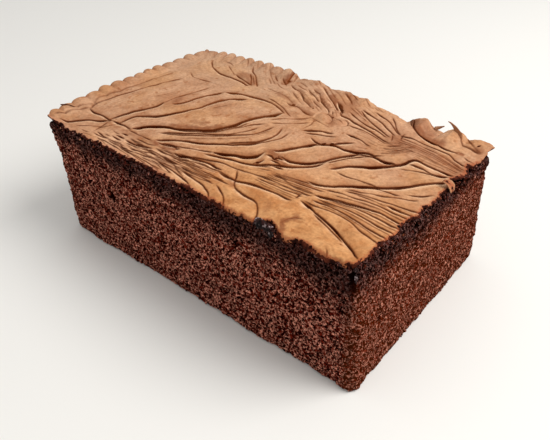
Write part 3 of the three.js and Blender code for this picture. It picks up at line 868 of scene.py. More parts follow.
def fine_wrinkles(folds):
    """Short wrinkles that follow the folds around them, each kept clear of those before it."""
    high = np.array([HALF_LENGTH, HALF_WIDTH]) + FINE_MARGIN
    low = -high
    columns, rows = ((high - low) / TAKEN_CELL).astype(int) + 1
    cell_x = low[0] + TAKEN_CELL * np.arange(columns)
    cell_y = low[1] + TAKEN_CELL * np.arange(rows)
    grid_x, grid_y = np.meshgrid(cell_x, cell_y, indexing="ij")
    gap = fine_gap(grid_x.ravel(), grid_y.ravel()).reshape(grid_x.shape)
    taken = np.zeros(gap.shape, bool)
    grain = grain_map(folds)

    def cell(point):
        i, j = ((point - low) / TAKEN_CELL).astype(int)
        return min(max(i, 0), columns - 1), min(max(j, 0), rows - 1)

    def take(line, share):
        for point in line:
            i, j = cell(point)
            reach = share * gap[i, j]
            n = int(reach / TAKEN_CELL) + 1
            part = np.s_[max(i - n, 0):i + n + 1, max(j - n, 0):j + n + 1]
            taken[part] |= np.hypot(grid_x[part] - point[0], grid_y[part] - point[1]) < reach

    def heading(point, before):
        i = int((point[0] + HALF_LENGTH + GRAIN_MARGIN) / GRAIN_CELL + 0.5)
        j = int((point[1] + HALF_WIDTH + GRAIN_MARGIN) / GRAIN_CELL + 0.5)
        angle = grain[min(i, grain.shape[0] - 1), min(j, grain.shape[1] - 1)]
        ahead = np.array([math.cos(angle), math.sin(angle)])
        return ahead if ahead @ before >= 0 else -ahead

    def trace(start, before, most):
        line = []
        point = start
        while len(line) * FINE_STEP < most:
            before = FINE_STEADY * before + heading(point, before)
            before = before / np.linalg.norm(before)
            point = point + FINE_STEP * before
            inside = (point > low).all() and (point < high).all()
            if not inside or taken[cell(point)]:
                break
            line.append(point)
        return line

    for _, route in folds:
        take(route, FOLD_CLEAR)
    draw = np.random.default_rng(FINE_SEED)
    made = []
    for start in draw.uniform(low, high, (FINE_TRIES, 2)):
        if taken[cell(start)]:
            continue
        first = heading(start, np.array([1.0, 0.0]))
        most = draw.uniform(FINE_LEAST, FINE_MOST)
        line = trace(start, -first, most)[::-1] + [start] + trace(start, first, most)
        if len(line) * FINE_STEP < FINE_LEAST:
            continue
        take(line, WRINKLE_CLEAR)
        made.append((draw.uniform(*FINE_STRENGTH), np.array(line)))
    return made


def all_folds():
    """Every fold as strength, route and whether it is the edge of a flap."""
    families = FLAP_FOLDS + CRIMPED_END_FOLDS + BIG_LENS_FOLDS + BACK_LEFT_FOLDS + MIDDLE_BACK_FOLDS
    families = families + MIDDLE_FOLDS + PLAIN_END_FOLDS + FAN_FOLDS + FRONT_FOLDS
    folds = [(strength, smooth_route(route)) for strength, route in families]
    draw = np.random.default_rng(WRINKLE_SEED)
    for bundle in WRINKLES:
        folds += wrinkle_bundle(draw, *bundle)
    folds += fine_wrinkles(folds)
    flaps = len(FLAP_FOLDS)
    made = []
    for k, (strength, route) in enumerate(folds):
        made.append((strength, wander(route, WANDER_SEED + k), k < flaps))
    return made


def crust_folds(x, y):
    """Relief of all folds at points of the plan, and what the finish shows of them.

    That is how far off the dark lines are, which are painted shade in the creases, how dark that painted
    shade is around them, the banks beside them, with painted shade above 0 up the lean and a painted
    highlight below 0 down it, and the low ground, which takes painted shade, and the streaks between.
    """
    falls = np.zeros_like(x)
    leans = np.zeros_like(x)
    gap = np.full_like(x, FOLD_REACH)
    crease_shade = np.zeros_like(x)
    bank_shading = np.zeros_like(x)
    near = np.full_like(x, FOLD_REACH)
    place = np.zeros_like(x)
    for strength, route, flap in all_folds():
        reach = FLAP_REACH if flap else FOLD_REACH * min(1.0, FOLD_LEAST_REACH + strength)
        low = route.min(0) - reach
        high = route.max(0) + reach
        inside = np.flatnonzero((x > low[0]) & (x < high[0]) & (y > low[1]) & (y < high[1]))
        higher = FLAP_LEAN if flap else LEAN
        distance, along, total, lean = measure_route(x[inside], y[inside], route, higher)
        to_end = np.minimum(along, total - along)
        taper = np.clip(to_end / (FOLD_TAPER * (FOLD_LEAST_TAPER + strength)), 0, 1) ** FOLD_TAPER_ROUND
        uneven = soft_noise(along, FOLD_UNEVEN_ROW * strength + 0 * along, FOLD_UNEVEN_CELL, seed=5)
        depth = strength * taper * (1 + FOLD_UNEVEN * uneven)
        swell = (FLAP_SWELL if flap else FOLD_SWELL) * np.clip(1 - distance / reach, 0, 1) ** 2
        steep = FOLD_STEEP * np.exp(-distance / FOLD_STEEP_WIDTH)
        slit = FOLD_SLIT * np.exp(-(distance / FOLD_SLIT_WIDTH) ** 2)
        falls[inside] += (depth * (swell + steep + slit)) ** FOLD_BLEND
        step = LEAN_SHARE * (FLAP_LIFT if flap else 1.0)
        leans[inside] += step * depth * lean * np.exp(-distance / LEAN_WIDTH)
        bank_width = BANK_WIDTH * min(1.0, BANK_LEAST + BANK_GAIN * strength)
        beside = np.minimum(depth, 1) * lean * np.exp(-distance / bank_width)
        bank_shading[inside] = np.where(np.abs(beside) > np.abs(bank_shading[inside]), beside, bank_shading[inside])
        uneven = soft_noise(along, LINE_UNEVEN_ROW * strength + 0 * along, LINE_UNEVEN_CELL, seed=7)
        half = LINE_HALF * (LINE_THINNEST + depth) * (1 + LINE_UNEVEN * uneven) * np.sqrt(taper)
        rounded = np.hypot(distance, LINE_SOFT) - LINE_SOFT
        gap[inside] = np.minimum(gap[inside], rounded - half)
        shade = np.minimum(CREASE_DARK * depth, 1) * np.exp(-(distance / CREASE_REACH) ** 2)
        crease_shade[inside] = np.maximum(crease_shade[inside], shade)
        closer = distance < near[inside]
        near[inside[closer]] = distance[closer]
        place[inside[closer]] = along[closer]
    for spot_x, spot_y, radius in SPOTS:
        away = np.hypot(x - spot_x, y - spot_y) + SPOT_RAGGED * soft_noise(x, y, SPOT_CELL, seed=6)
        gap = np.minimum(gap, away - SPOT_CORE * radius)
        crease_shade = np.maximum(crease_shade, SPOT_DARK * hump(np.maximum(away, 0), SPOT_REACH * radius))
    fall = falls ** (1 / FOLD_BLEND)
    streak = soft_noise(near / STREAK_WIDTH, place / STREAK_LENGTH, 1.0, seed=3)
    relief = leans - fall + STREAK_HEIGHT * streak
    for puff_x, puff_y, radius, tall in PUFFS:
        relief = relief + tall * hump(np.hypot(x - puff_x, y - puff_y), radius)
    return relief, {"gap": gap, "crease_shade": crease_shade, "bank_shading": bank_shading, "valley_shade": fall, "streak": streak}


# Rim

def lobes(s, seed):
    """Beads of the crimped rim, 0 in the dips and about 1 on the crests, uneven in size."""
    stray = CRIMP_STRAY * soft_noise(s, np.zeros_like(s), CRIMP_STRAY_CELL, seed)
    turn = (s + stray) / CRIMP_PITCH
    sizes = np.random.default_rng(seed).uniform(*CRIMP_SIZES, NOISE_TABLE)
    return sizes[np.floor(turn).astype(int) % NOISE_TABLE] * np.abs(np.sin(np.pi * turn)) ** CRIMP_ROUND


def ragged(s, seed):
    """Uneven edge of the crust, about -1 to 1."""
    layers = [(tall, cell, seed + k) for k, (tall, cell) in enumerate(RAGGED_WAVES)]
    return layered_noise(s, np.zeros_like(s), layers)


def rim_push(x, y):
    """How far the rim moves points of the crust out and up."""
    from_left = x + HALF_LENGTH
    from_right = HALF_LENGTH - x
    from_front = y + HALF_WIDTH
    from_back = HALF_WIDTH - y
    crest_half = RIM_BAND - CRIMP_CREST

    left_bead = lobes(y, LEFT_BEADS)
    left_fade = hump(from_left, RIM_BAND)
    left_reach = LEFT_OVERHANG * (1 - y / HALF_WIDTH) / 2 + CRIMP_REACH * left_bead
    push_x = -left_reach * left_fade
    lift = CRIMP_LIFT * left_bead * hump(from_left - CRIMP_CREST, crest_half)
    lift = lift + LEFT_RISE * (1 - y / HALF_WIDTH) / 2 * left_fade

    crimped = 1 - smoothstep(x, CRIMPED_BACK_END - CRIMP_FADE, CRIMPED_BACK_END + CRIMP_FADE)
    flaked = smoothstep(x, FLAKES_START - FLAKES_FADE, FLAKES_START + FLAKES_FADE)
    back_bead = lobes(x, BACK_BEADS)
    back_reach = BACK_OVERHANG + crimped * CRIMP_REACH * back_bead + FLAKE_REACH * flaked
    push_y = back_reach * hump(from_back, RIM_BAND)
    push_y = push_y + (1 - crimped) * RAGGED_REACH * ragged(x, seed=13) * hump(from_back, RAGGED_BAND)
    band = RIM_BAND + (FLAKE_BAND - RIM_BAND) * flaked
    lift = lift + back_rim_height(x) * hump(from_back, band)
    bead_lift = CRIMP_LIFT * (back_bead - CRIMP_MIDDLE) * hump(from_back - CRIMP_CREST, crest_half)
    lift = lift + crimped * bead_lift

    front_inset = FRONT_INSET * (1 - smoothstep(x, *FRONT_INSET_FALL)) * smoothstep(x, *FRONT_INSET_RISE)
    push_y = push_y + front_inset * hump(from_front, RIM_BAND)
    middle, half, depth = NOTCH
    push_y = push_y + depth * hump(x - middle, half) * hump(from_front, RIM_BAND)
    push_y = push_y - RAGGED_REACH * ragged(x, seed=15) * hump(from_front, RAGGED_BAND)

    flap = smoothstep(y, *CORNER_FLAP_RISE)
    push_x = push_x + (CORNER_FLAP * flap - RIGHT_INSET) * hump(from_right, RIM_BAND)
    for middle, half, depth in BITES:
        push_x = push_x - depth * hump(y - middle, half) * hump(from_right, RIM_BAND)
    push_x = push_x + RIGHT_RAGGED_REACH * ragged(y, seed=17) * hump(from_right, RAGGED_BAND)

    edge = np.minimum(np.minimum(from_left, from_right), np.minimum(from_front, from_back))
    t = np.clip(1 - edge / EDGE_RADIUS, 0, 1)
    hanging = sum(smoothstep(x, *step) for step in HANGING_STEPS) / len(HANGING_STEPS)
    hanging = HANGING_DROP * hanging * hump(from_front, EDGE_RADIUS)
    roll = (EDGE_DROP + hanging) * (1 - np.sqrt(1 - t * t))
    on_flake = flaked * hump(from_back, FLAKE_BAND)
    lift = lift - roll * (1 - FLAKE_FLAT * on_flake)
    return push_x, push_y, lift


def rim_dip_shade(x, y):
    """How much painted shade darkens the dips between the beads of the crimped rim."""
    left = (1 - lobes(y, LEFT_BEADS)) * hump(x + HALF_LENGTH, DIP_BAND)
    crimped = 1 - smoothstep(x, CRIMPED_BACK_END - CRIMP_FADE, CRIMPED_BACK_END)
    back = (1 - lobes(x, BACK_BEADS)) * hump(HALF_WIDTH - y, DIP_BAND) * crimped
    return DIP_SHADE * np.maximum(left, back)


def whole_crust(x, y):
    """How far points of the crust are inside its torn dark border; the crimped and back edges have none."""
    plain_end = smoothstep(x, *FRONT_END)
    front = y + HALF_WIDTH - FRONT_TEAR - (FRONT_END_TEAR - FRONT_TEAR) * plain_end
    right = HALF_LENGTH - x - RIGHT_TEAR - (WHOLE_EDGE - RIGHT_TEAR) * smoothstep(y, *WHOLE_CORNER)
    left = x + HALF_LENGTH - WHOLE_EDGE
    back = HALF_WIDTH - y - WHOLE_EDGE
    return np.minimum(np.minimum(front, right), np.minimum(left, back))


# Pieces

def make_piece(name, points, faces, finish, values=None, unrolled=None, normals=None):
    """A mesh object that rides on the loaf's body and stands for its solid; points are in millimetres.

    The values are kept at its points for the finish, and the unrolled places of its corners as a map.
    Normals are given where a surface runs on from one piece to another.
    """
    mesh = bpy.data.meshes.new(name)
    mesh.from_pydata(((np.asarray(points) + TOP_MIDDLE) * MM).tolist(), [], faces)
    mesh.update()
    mesh.polygons.foreach_set("use_smooth", np.ones(len(mesh.polygons), bool))
    for key, value in (values or {}).items():
        mesh.attributes.new(key, "FLOAT", "POINT").data.foreach_set("value", np.asarray(value, np.float32))
    if unrolled is not None:
        mesh.uv_layers.new(name=BAKE_MAP).data.foreach_set("uv", np.asarray(unrolled, np.float32).ravel())
    if normals is not None:
        mesh.normals_split_custom_set_from_vertices(normals.tolist())
    mesh.materials.append(finish)
    piece = bpy.data.objects.new(name, mesh)
    bpy.context.scene.collection.objects.link(piece)
    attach(piece, "root")
    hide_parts("loaf")


def round_corner(x, y, a, b, radius):
    """Rounds the corners of a rectangle by bending each corner's square into a quarter disc."""
    p = np.clip((np.abs(x) - a + radius) / radius, 0, 1)
    q = np.clip((np.abs(y) - b + radius) / radius, 0, 1)
    bent_x = np.sign(x) * (a - radius + p * np.sqrt(1 - q * q / 2) * radius)
    bent_y = np.sign(y) * (b - radius + q * np.sqrt(1 - p * p / 2) * radius)
    corner = (p > 0) & (q > 0)
    return np.where(corner, bent_x, x), np.where(corner, bent_y, y)


def grid_faces(columns, rows):
    """Quads over a grid of points numbered row by row along its second index."""
    i, j = np.meshgrid(np.arange(columns), np.arange(rows), indexing="ij")
    a = (i * (rows + 1) + j).ravel()
    b = a + rows + 1
    return np.stack([a, b, b + 1, a + 1], -1)


def ring_faces(lower, upper):
    """Quads between two closed rings of point numbers, facing out when the rings run anticlockwise."""
    return np.stack([lower, np.roll(lower, -1), np.roll(upper, -1), upper], -1)


def point_normals(points, faces):
    """Normals of a surface at its points, from the triangles or quads around each."""
    total = np.zeros_like(points)
    for group in faces:
        corners = points[group]
        across = np.cross(corners[:, 2] - corners[:, 0], corners[:, -1] - corners[:, 1])
        for corner in group.T:
            np.add.at(total, corner, across)
    return total / np.maximum(np.linalg.norm(total, axis=1), TINY)[:, None]


def strip_map(around, strips):
    """Places on a map for the corners of quads in strips, and of one last strip of triangles."""
    tall = 1 / (strips + 1)
    wide = (1 - 2 * MAP_MARGIN) / around
    start = MAP_MARGIN + wide * np.arange(around)
    quad_corners = np.array([(0, 0), (1, 0), (1, 1), (0, 1)])
    fan_corners = np.array([(1, 1), (0, 1), (0.5, 0)])
    places = []
    for row, corners in enumerate([quad_corners] * strips + [fan_corners]):
        across = start[:, None] + wide * corners[:, 0]
        up = row * tall + MAP_MARGIN + (tall - 2 * MAP_MARGIN) * corners[:, 1] + 0 * across
        places.append(np.stack([across, up], -1).reshape(-1, 2))
    return np.vstack(places)


def build_crust(finish):
    """The wrinkled skin of the top in two halves, and its edge with a hidden underside."""
    u, v = np.meshgrid(
        np.linspace(-1, 1, CRUST_COLUMNS + 1), np.linspace(-1, 1, CRUST_ROWS + 1), indexing="ij"
    )
    u, v = u.ravel(), v.ravel()
    radius = np.where((u < 0) & (v < 0), FRONT_LEFT_RADIUS, CORNER_RADIUS)
    x, y = round_corner(u * HALF_LENGTH, v * HALF_WIDTH, HALF_LENGTH, HALF_WIDTH, radius)
    push_x, push_y, lift = rim_push(u * HALF_LENGTH, v * HALF_WIDTH)
    relief, shown = crust_folds(x, y)
    relief = relief + layered_noise(x, y, CRUST_WAVES)
    edge = np.minimum((1 - np.abs(u)) * HALF_LENGTH, (1 - np.abs(v)) * HALF_WIDTH)
    kept = EDGE_RELIEF + (1 - EDGE_RELIEF) * smoothstep(edge, 0, EDGE_RELIEF_BAND)
    z = crown_height(x, y) + relief * kept + lift
    top = np.stack([x + push_x, y + push_y, z], -1)
    faces = [grid_faces(CRUST_COLUMNS, CRUST_ROWS)]

    stride = CRUST_ROWS + 1
    front = np.arange(CRUST_COLUMNS) * stride
    right = CRUST_COLUMNS * stride + np.arange(CRUST_ROWS)
    back = np.arange(CRUST_COLUMNS, 0, -1) * stride + CRUST_ROWS
    left = np.arange(CRUST_ROWS, 0, -1)
    rim = np.concatenate([front, right, back, left])
    inward = -top[rim, :2] / np.array([HALF_LENGTH, HALF_WIDTH])
    inward /= np.linalg.norm(inward, axis=1)[:, None]
    points = [top]
    rings = [rim]
    count = len(top)
    for inset, drop in EDGE_RINGS:
        ring = top[rim].copy()
        ring[:, :2] += inset * inward
        ring[:, 2] -= drop
        points.append(ring)
        rings.append(count + np.arange(len(rim)))
        count += len(rim)
        faces.append(ring_faces(rings[-1], rings[-2]))
    points.append(np.array([[0.0, 0.0, HIDDEN_MIDDLE]]))
    fan = np.stack([np.roll(rings[-1], -1), rings[-1], np.full(len(rim), count)], -1)
    points = np.vstack(points)
    extra = np.zeros(len(points) - len(top))
    whole = whole_crust(u * HALF_LENGTH, v * HALF_WIDTH)
    # Browning, painted shade and painted highlights over the plan, and painted shade in the dips of the rim
    shown["browned_and_painted_light"] = browning_and_painted_light(x, y) + rim_dip_shade(u * HALF_LENGTH, v * HALF_WIDTH)
    values = {key: np.concatenate([value, extra]) for key, value in shown.items()}
    values["gap"][len(top):] = FOLD_REACH
    values["whole"] = np.concatenate([whole, np.tile(whole[rim] - 1, len(EDGE_RINGS)), [-1.0]])
    normals = point_normals(points, faces + [fan])

    def part(name, groups, unrolled):
        used = np.unique(np.concatenate([group.ravel() for group in groups]))
        own = {key: value[used] for key, value in values.items()}
        lists = sum([np.searchsorted(used, group).tolist() for group in groups], [])
        make_piece(name, points[used], lists, finish, own, unrolled, normals[used])

    half = len(faces[0]) // 2
    halves = [("crust_crimped_half", faces[0][:half]), ("crust_plain_half", faces[0][half:])]
    for side, (name, quads) in enumerate(halves):
        flat = np.stack([u + 1 - side, (v + 1) / 2], -1)
        part(name, [quads], MAP_MARGIN + (1 - 2 * MAP_MARGIN) * flat[quads].reshape(-1, 2))
    part("crust_edge", faces[1:] + [fan], strip_map(len(rim), len(rings) - 1))


# Crumb

def spread(corners, u, v):
    """A pair of numbers spread over the plan from the four corners, for u and v from -1 to 1."""
    front_left, front_right, back_left, back_right = (np.array(corner) for corner in corners)
    right = ((u + 1) / 2)[..., None]
    back = ((v + 1) / 2)[..., None]
    front_edge = front_left * (1 - right) + front_right * right
    back_edge = back_left * (1 - right) + back_right * right
    return front_edge * (1 - back) + back_edge * back


def stand_aside(x, y, height):
    """How far the walls stand aside from the outline of the top at a height."""
    u = x / HALF_LENGTH
    v = y / HALF_WIDTH
    drawn = smoothstep(height, DRAWN_FROM, DRAWN_TO)[..., None]
    return spread(WALL_CORNERS, u, v) * (1 - drawn) + spread(DRAWN_CORNERS, u, v) * drawn


def loaf_outline(count):
    """Points round the top at even steps, anticlockwise from the front left, with outward normals."""
    a, b, r = HALF_LENGTH, HALF_WIDTH, CORNER_RADIUS
    long_run, short_run, turn = 2 * (a - r), 2 * (b - r), r * math.pi / 2
    total = 2 * (long_run + short_run) + 4 * turn
    place = np.arange(count) * total / count
    points = np.zeros((count, 2))
    normals = np.zeros((count, 2))
    start = 0.0
    for k, run in enumerate((long_run, short_run, long_run, short_run)):
        angle = -math.pi / 2 + k * math.pi / 2
        out = np.array([math.cos(angle), math.sin(angle)])
        ahead = np.array([-out[1], out[0]])
        centre_out = b - r if k % 2 == 0 else a - r
        on_run = (place >= start) & (place < start + run)
        s = place[on_run] - start - run / 2
        points[on_run] = out * (centre_out + r) + s[:, None] * ahead
        normals[on_run] = out
        on_turn = (place >= start + run) & (place < start + run + turn)
        bend = angle + (place[on_turn] - start - run) / r
        direction = np.stack([np.cos(bend), np.sin(bend)], -1)
        points[on_turn] = out * centre_out + ahead * run / 2 + r * direction
        normals[on_turn] = direction
        start += run + turn
    return points, normals, place, total


def pit_depth(s, t, total, cell, share, least, most, seed):
    """How deep each point lies in a scatter of round pits, 0 to 1, on a wall that closes along s."""
    draw = np.random.default_rng(seed)
    columns = int(round(total / cell))
    wide = total / columns
    rows = int(t.max() / cell) + 3    # with spare rows over the wall
    centre = draw.uniform(*PIT_PLACES, (columns, rows, 2))
    radius = draw.uniform(least, most, (columns, rows)) * (draw.uniform(0, 1, (columns, rows)) < share)
    column = np.floor(s / wide).astype(int)
    row = np.floor(t / cell).astype(int)
    deepest = np.zeros_like(s)
    for i in (-1, 0, 1):
        for j in (-1, 0, 1):
            c = (column + i) % columns
            r = np.clip(row + j, 0, rows - 1)
            ds = (column + i + centre[c, r, 0]) * wide - s
            dt = (row + j + centre[c, r, 1]) * cell - t
            size = np.maximum(radius[c, r], NO_PIT)
            deepest = np.maximum(deepest, 1 - (ds * ds + dt * dt) / size ** 2)
    return np.clip(deepest, 0, 1)


def crumb_rows(top):
    """Rows of the crumb's profile from the base up: height, inset, and tilt from 1 down to -1 up."""
    rows = []
    for k in range(EDGE_ROWS):
        angle = math.pi / 2 * k / EDGE_ROWS
        rise = BASE_EDGE_RADIUS * (1 - math.cos(angle))
        rows.append((np.full(len(top), rise), BASE_EDGE_RADIUS * (1 - math.sin(angle)), math.cos(angle)))
    for k in range(WALL_ROWS + 1):
        share = k / WALL_ROWS
        rows.append((BASE_EDGE_RADIUS + (top - SHOULDER_RADIUS - BASE_EDGE_RADIUS) * share, 0.0, 0.0))
    for k in range(1, SHOULDER_ROWS + 1):
        angle = math.pi / 2 * k / SHOULDER_ROWS
        rise = SHOULDER_RADIUS * (math.sin(angle) - 1)
        rows.append((top + rise, SHOULDER_RADIUS * (1 - math.cos(angle)), -math.sin(angle)))
    return rows + [(top - drop, inset, -1.0) for drop, inset in HIDDEN_ROWS]


def crumb_top(outline, place):
    """Height of the crumb close under the crust, at points of the outline."""
    crown = crown_height(outline[:, 0], outline[:, 1])
    back = smoothstep(outline[:, 1], *(HALF_WIDTH - band for band in BACK_DROP_BAND))
    rim = np.minimum(back_rim_height(outline[:, 0]), 0) * back
    wave = TOP_WAVE * soft_noise(place, place * 0, TOP_WAVE_CELL, seed=31)
    return crown + rim - CRUMB_DROP - BACK_DROP * back + wave


def crumb_map(points, rows, quads, fans):
    """Places on the map for each face's corners: walls unrolled in two strips, base and top as they lie."""
    ring, column = np.divmod(np.arange(len(quads)), CRUMB_COLUMNS)
    half = CRUMB_COLUMNS // 2
    strip, column = np.divmod(column, half)
    tall = CRUMB_SHEET / 4
    across_step = (CRUMB_SHEET - 2 * SHEET_MARGIN) / half
    up_step = (tall - 2 * SHEET_MARGIN) / (rows - 1)
    corners = np.array([(0, 0), (1, 0), (1, 1), (0, 1)])
    across = SHEET_MARGIN + (column[:, None] + corners[:, 0]) * across_step
    up = strip[:, None] * tall + SHEET_MARGIN + (ring[:, None] + corners[:, 1]) * up_step
    walls = np.stack([across, up], -1).reshape(-1, 2)
    under, over = fans
    base_middle = [HALF_LENGTH + BASE_GAP, 2 * tall + HALF_WIDTH + BASE_GAP]
    base = base_middle + points[under.ravel(), :2]
    hidden_right = CRUMB_SHEET - HIDDEN_SCALE * HALF_LENGTH - HIDDEN_GAP
    hidden_middle = [hidden_right, 2 * tall + HIDDEN_SCALE * HALF_WIDTH + HIDDEN_GAP]
    hidden = hidden_middle + HIDDEN_SCALE * points[over.ravel(), :2]
    return np.vstack([walls, base, hidden]) / CRUMB_SHEET


def wall_sear_and_shade(outline, normals, s, t, below):
    """How dark the band under the crust is at each point of the walls, seared and in painted shade, from 1
    close under the crust to 0 below its reach.
    """
    along_front = np.interp(outline[:, :1], *zip(*FRONT_SEAR_AND_SHADE))
    across_end = np.interp(outline[:, 1:], *zip(*END_SEAR_AND_SHADE))
    depth = along_front + (across_end - along_front) * smoothstep(normals[:, :1], *END_TURN)
    depth = depth * (1 + layered_noise(s, 0 * s, SEAR_AND_SHADE_UNEVEN))
    patch = layered_noise(s, t, SEAR_AND_SHADE_PATCHES)
    return 1 - smoothstep(below + patch, *(share * depth for share in SEAR_AND_SHADE_FADE))


def wall_holes(outline, height, s, t, total):
    """How far each point of the walls is into a hole, 0 to 1, and how deep it sinks there."""
    pit = np.zeros_like(s)
    sink = np.zeros_like(s)
    for k, (cell, share, least, most, deep) in enumerate(PITS):
        inside = pit_depth(s, t, total, cell, share, least, most, PIT_SEED + k)
        pit = np.maximum(pit, inside)
        sink = np.maximum(sink, deep * inside)
    uneven = 1 + HOLE_UNEVEN * soft_noise(s, t, HOLE_UNEVEN_CELL, seed=60)
    for x, y, z, radius, deep in HOLES:
        away = (outline[:, :1] - x) ** 2 + (outline[:, 1:] - y) ** 2
        away = away - away.min() + (height - z) ** 2
        inside = np.clip(1 - away / (radius * uneven) ** 2, 0, 1)
        pit = np.maximum(pit, np.minimum(HOLE_DARK * inside, 1))
        sink = np.maximum(sink, deep * np.sqrt(inside))
    return pit, sink


def build_crumb(finish):
    """The open sponge of the sides and base, with holes, and seared strands under the crust. The values it
    keeps mark the painted shade in its holes and the seared and shaded band under the crust.
    """
    outline, normals, place, total = loaf_outline(CRUMB_COLUMNS)
    top = crumb_top(outline, place)
    rows = crumb_rows(top)
    height = np.stack([row[0] for row in rows], 1)
    inset = np.tile([row[1] for row in rows], (CRUMB_COLUMNS, 1))
    tilt = np.tile([row[2] for row in rows], (CRUMB_COLUMNS, 1))
    upright = np.sqrt(1 - np.minimum(np.abs(tilt), 1) ** 2)
    # s runs along the unrolled wall and t up it
    s = np.tile(place[:, None], (1, len(rows)))
    t = height + (BASE_EDGE_RADIUS * EDGE_SPREAD - inset) * (tilt > 0) + inset * (tilt < 0)
    nx, ny = normals[:, :1], normals[:, 1:]
    aside = stand_aside(outline[:, :1] + 0 * s, outline[:, 1:] + 0 * s, height)

    sear_and_shade = wall_sear_and_shade(outline, normals, s, t, top[:, None] - height)
    pit, sink = wall_holes(outline, height, s, t, total)
    wave = layered_noise(s, t, WALL_WAVES)
    draw = np.random.default_rng(CRUMB_GRAIN_SEED)
    grain = draw.uniform(-1, 1, s.shape)
    strand = soft_noise(s, STRAND_STRETCH * t, STRAND_CELL, seed=65)
    push = wave - sink + CRUMB_GRAIN * grain + STRAND_DEPTH * sear_and_shade * np.minimum(strand, STRAND_TOP)
    push = push * (1 - smoothstep(tilt, *FLAT_BASE))
    out = push * upright - inset
    jitter = CRUMB_JITTER * upright
    along = draw.uniform(-1, 1, s.shape) * jitter
    rise = np.maximum(height - push * tilt * TILT_RISE, 0) + draw.uniform(-1, 1, s.shape) * jitter
    rise[:, 0] = 0
    points = np.stack([
        outline[:, :1] + aside[..., 0] + nx * out - ny * along,
        outline[:, 1:] + aside[..., 1] + ny * out + nx * along,
        np.maximum(rise, 0),
    ], -1)

    count = CRUMB_COLUMNS * len(rows)
    number = np.arange(count).reshape(CRUMB_COLUMNS, len(rows))
    quads = np.vstack([ring_faces(number[:, k], number[:, k + 1]) for k in range(len(rows) - 1)])
    under = np.stack([np.roll(number[:, 0], -1), number[:, 0], np.full(CRUMB_COLUMNS, count)], -1)
    over = np.stack([number[:, -1], np.roll(number[:, -1], -1), np.full(CRUMB_COLUMNS, count + 1)], -1)
    points = np.vstack([points.reshape(-1, 3), [[0, 0, 0]], [[0, 0, HIDDEN_MIDDLE]]])
    values = {
        "pit": np.concatenate([pit.ravel(), [0, 0]]),
        "sear_and_shade": np.concatenate([sear_and_shade.ravel(), [0, 1]]),
    }
    unrolled = crumb_map(points, len(rows), quads, (under, over))
    faces = quads.tolist() + under.tolist() + over.tolist()
    make_piece("crumb", points, faces, finish, values, unrolled)


# Scraps, crumbs and blisters

def plain_skin(count, whole, browned_and_painted_light=0.0, dark=0.0):
    """What the finish of the crust needs at each point of a piece that has no folds."""
    gap = LINE_FADE[1] - (LINE_FADE[1] - LINE_FADE[0]) * dark
    values = {"gap": gap, "crease_shade": dark, "browned_and_painted_light": browned_and_painted_light, "whole": whole}
    return {key: np.zeros(count) + value for key, value in values.items()}


def build_scrap(finish, name, route, widths, way, whole, dark):
    """A thin curled scrap of crust along a route, with whole borders."""
    line = smooth_route(route, SCRAP_STEP)
    share = np.linspace(0, 1, len(line))
    width = np.interp(share, np.linspace(0, 1, len(widths)), widths)[:, None]
    ahead = np.gradient(line, axis=0)
    up = np.cross(ahead, way)
    up /= np.linalg.norm(up, axis=1)[:, None]
    across = np.cross(up, ahead)
    across /= np.linalg.norm(across, axis=1)[:, None]
    column = np.linspace(-1, 1, SCRAP_COLUMNS + 1)
    waves_along, waves_across = SCRAP_WAVES
    uneven = soft_noise(share[:, None] * waves_along, column * waves_across, 1.0, seed=90)
    offset = (width / 2 * column * (1 + SCRAP_UNEVEN * uneven))[..., None] * across[:, None]
    lift = (SCRAP_CURL * width * column ** 2)[..., None] * up[:, None]
    middle = line[:, None] + offset + lift
    half = SCRAP_THICKNESS / 2 * np.sqrt(1 - SCRAP_THIN * column ** 2)
    sheets = [(middle + side * half[:, None] * up[:, None]).reshape(-1, 3) for side in (1, -1)]
    count = len(sheets[0])
    quads = grid_faces(len(line) - 1, SCRAP_COLUMNS)
    number = np.arange(count).reshape(len(line), -1)
    rim = np.concatenate([number[:-1, 0], number[-1, :-1], number[:0:-1, -1], number[0, :0:-1]])
    faces = np.vstack([quads[:, ::-1], quads + count, ring_faces(rim, rim + count)])
    outer = np.abs(column) ** 3
    inside = SCRAP_BORDER * outer + whole * (1 - outer)
    values = plain_skin(2 * count, np.tile(inside, 2 * len(line)), SCRAP_BROWN, dark)
    make_piece(name, np.vstack(sheets), faces.tolist(), finish, values)


def ball(rounds):
    """Points and faces of a unit ball."""
    made = bmesh.new()
    bmesh.ops.create_icosphere(made, subdivisions=rounds, radius=1.0)
    made.verts.index_update()
    points = np.array([tuple(vertex.co) for vertex in made.verts])
    faces = np.array([[vertex.index for vertex in face.verts] for face in made.faces])
    made.free()
    return points, faces


def build_blisters(finish):
    """Dented bubbles of burnt batter at the front edge of the crust, and a drip at its corner."""
    unit, unit_faces = ball(BLISTER_ROUNDS)
    x, y, z = unit.T
    points = []
    faces = []
    for k, (middle, half) in enumerate(BLISTERS):
        dent = soft_noise(COARSE_DENTS * x + z, COARSE_DENTS * y - z, 1.0, COARSE_DENT_SEED + k)
        dent = dent + FINE_DENT_SHARE * soft_noise(FINE_DENTS * x, FINE_DENTS * z, 1.0, FINE_DENT_SEED + k)
        points.append(np.array(middle) + np.array(half) * unit * (1 + BLISTER_DENT * dent)[:, None])
        faces.append(unit_faces + k * len(unit))
    make_piece("blisters", np.vstack(points), np.vstack(faces).tolist(), finish)


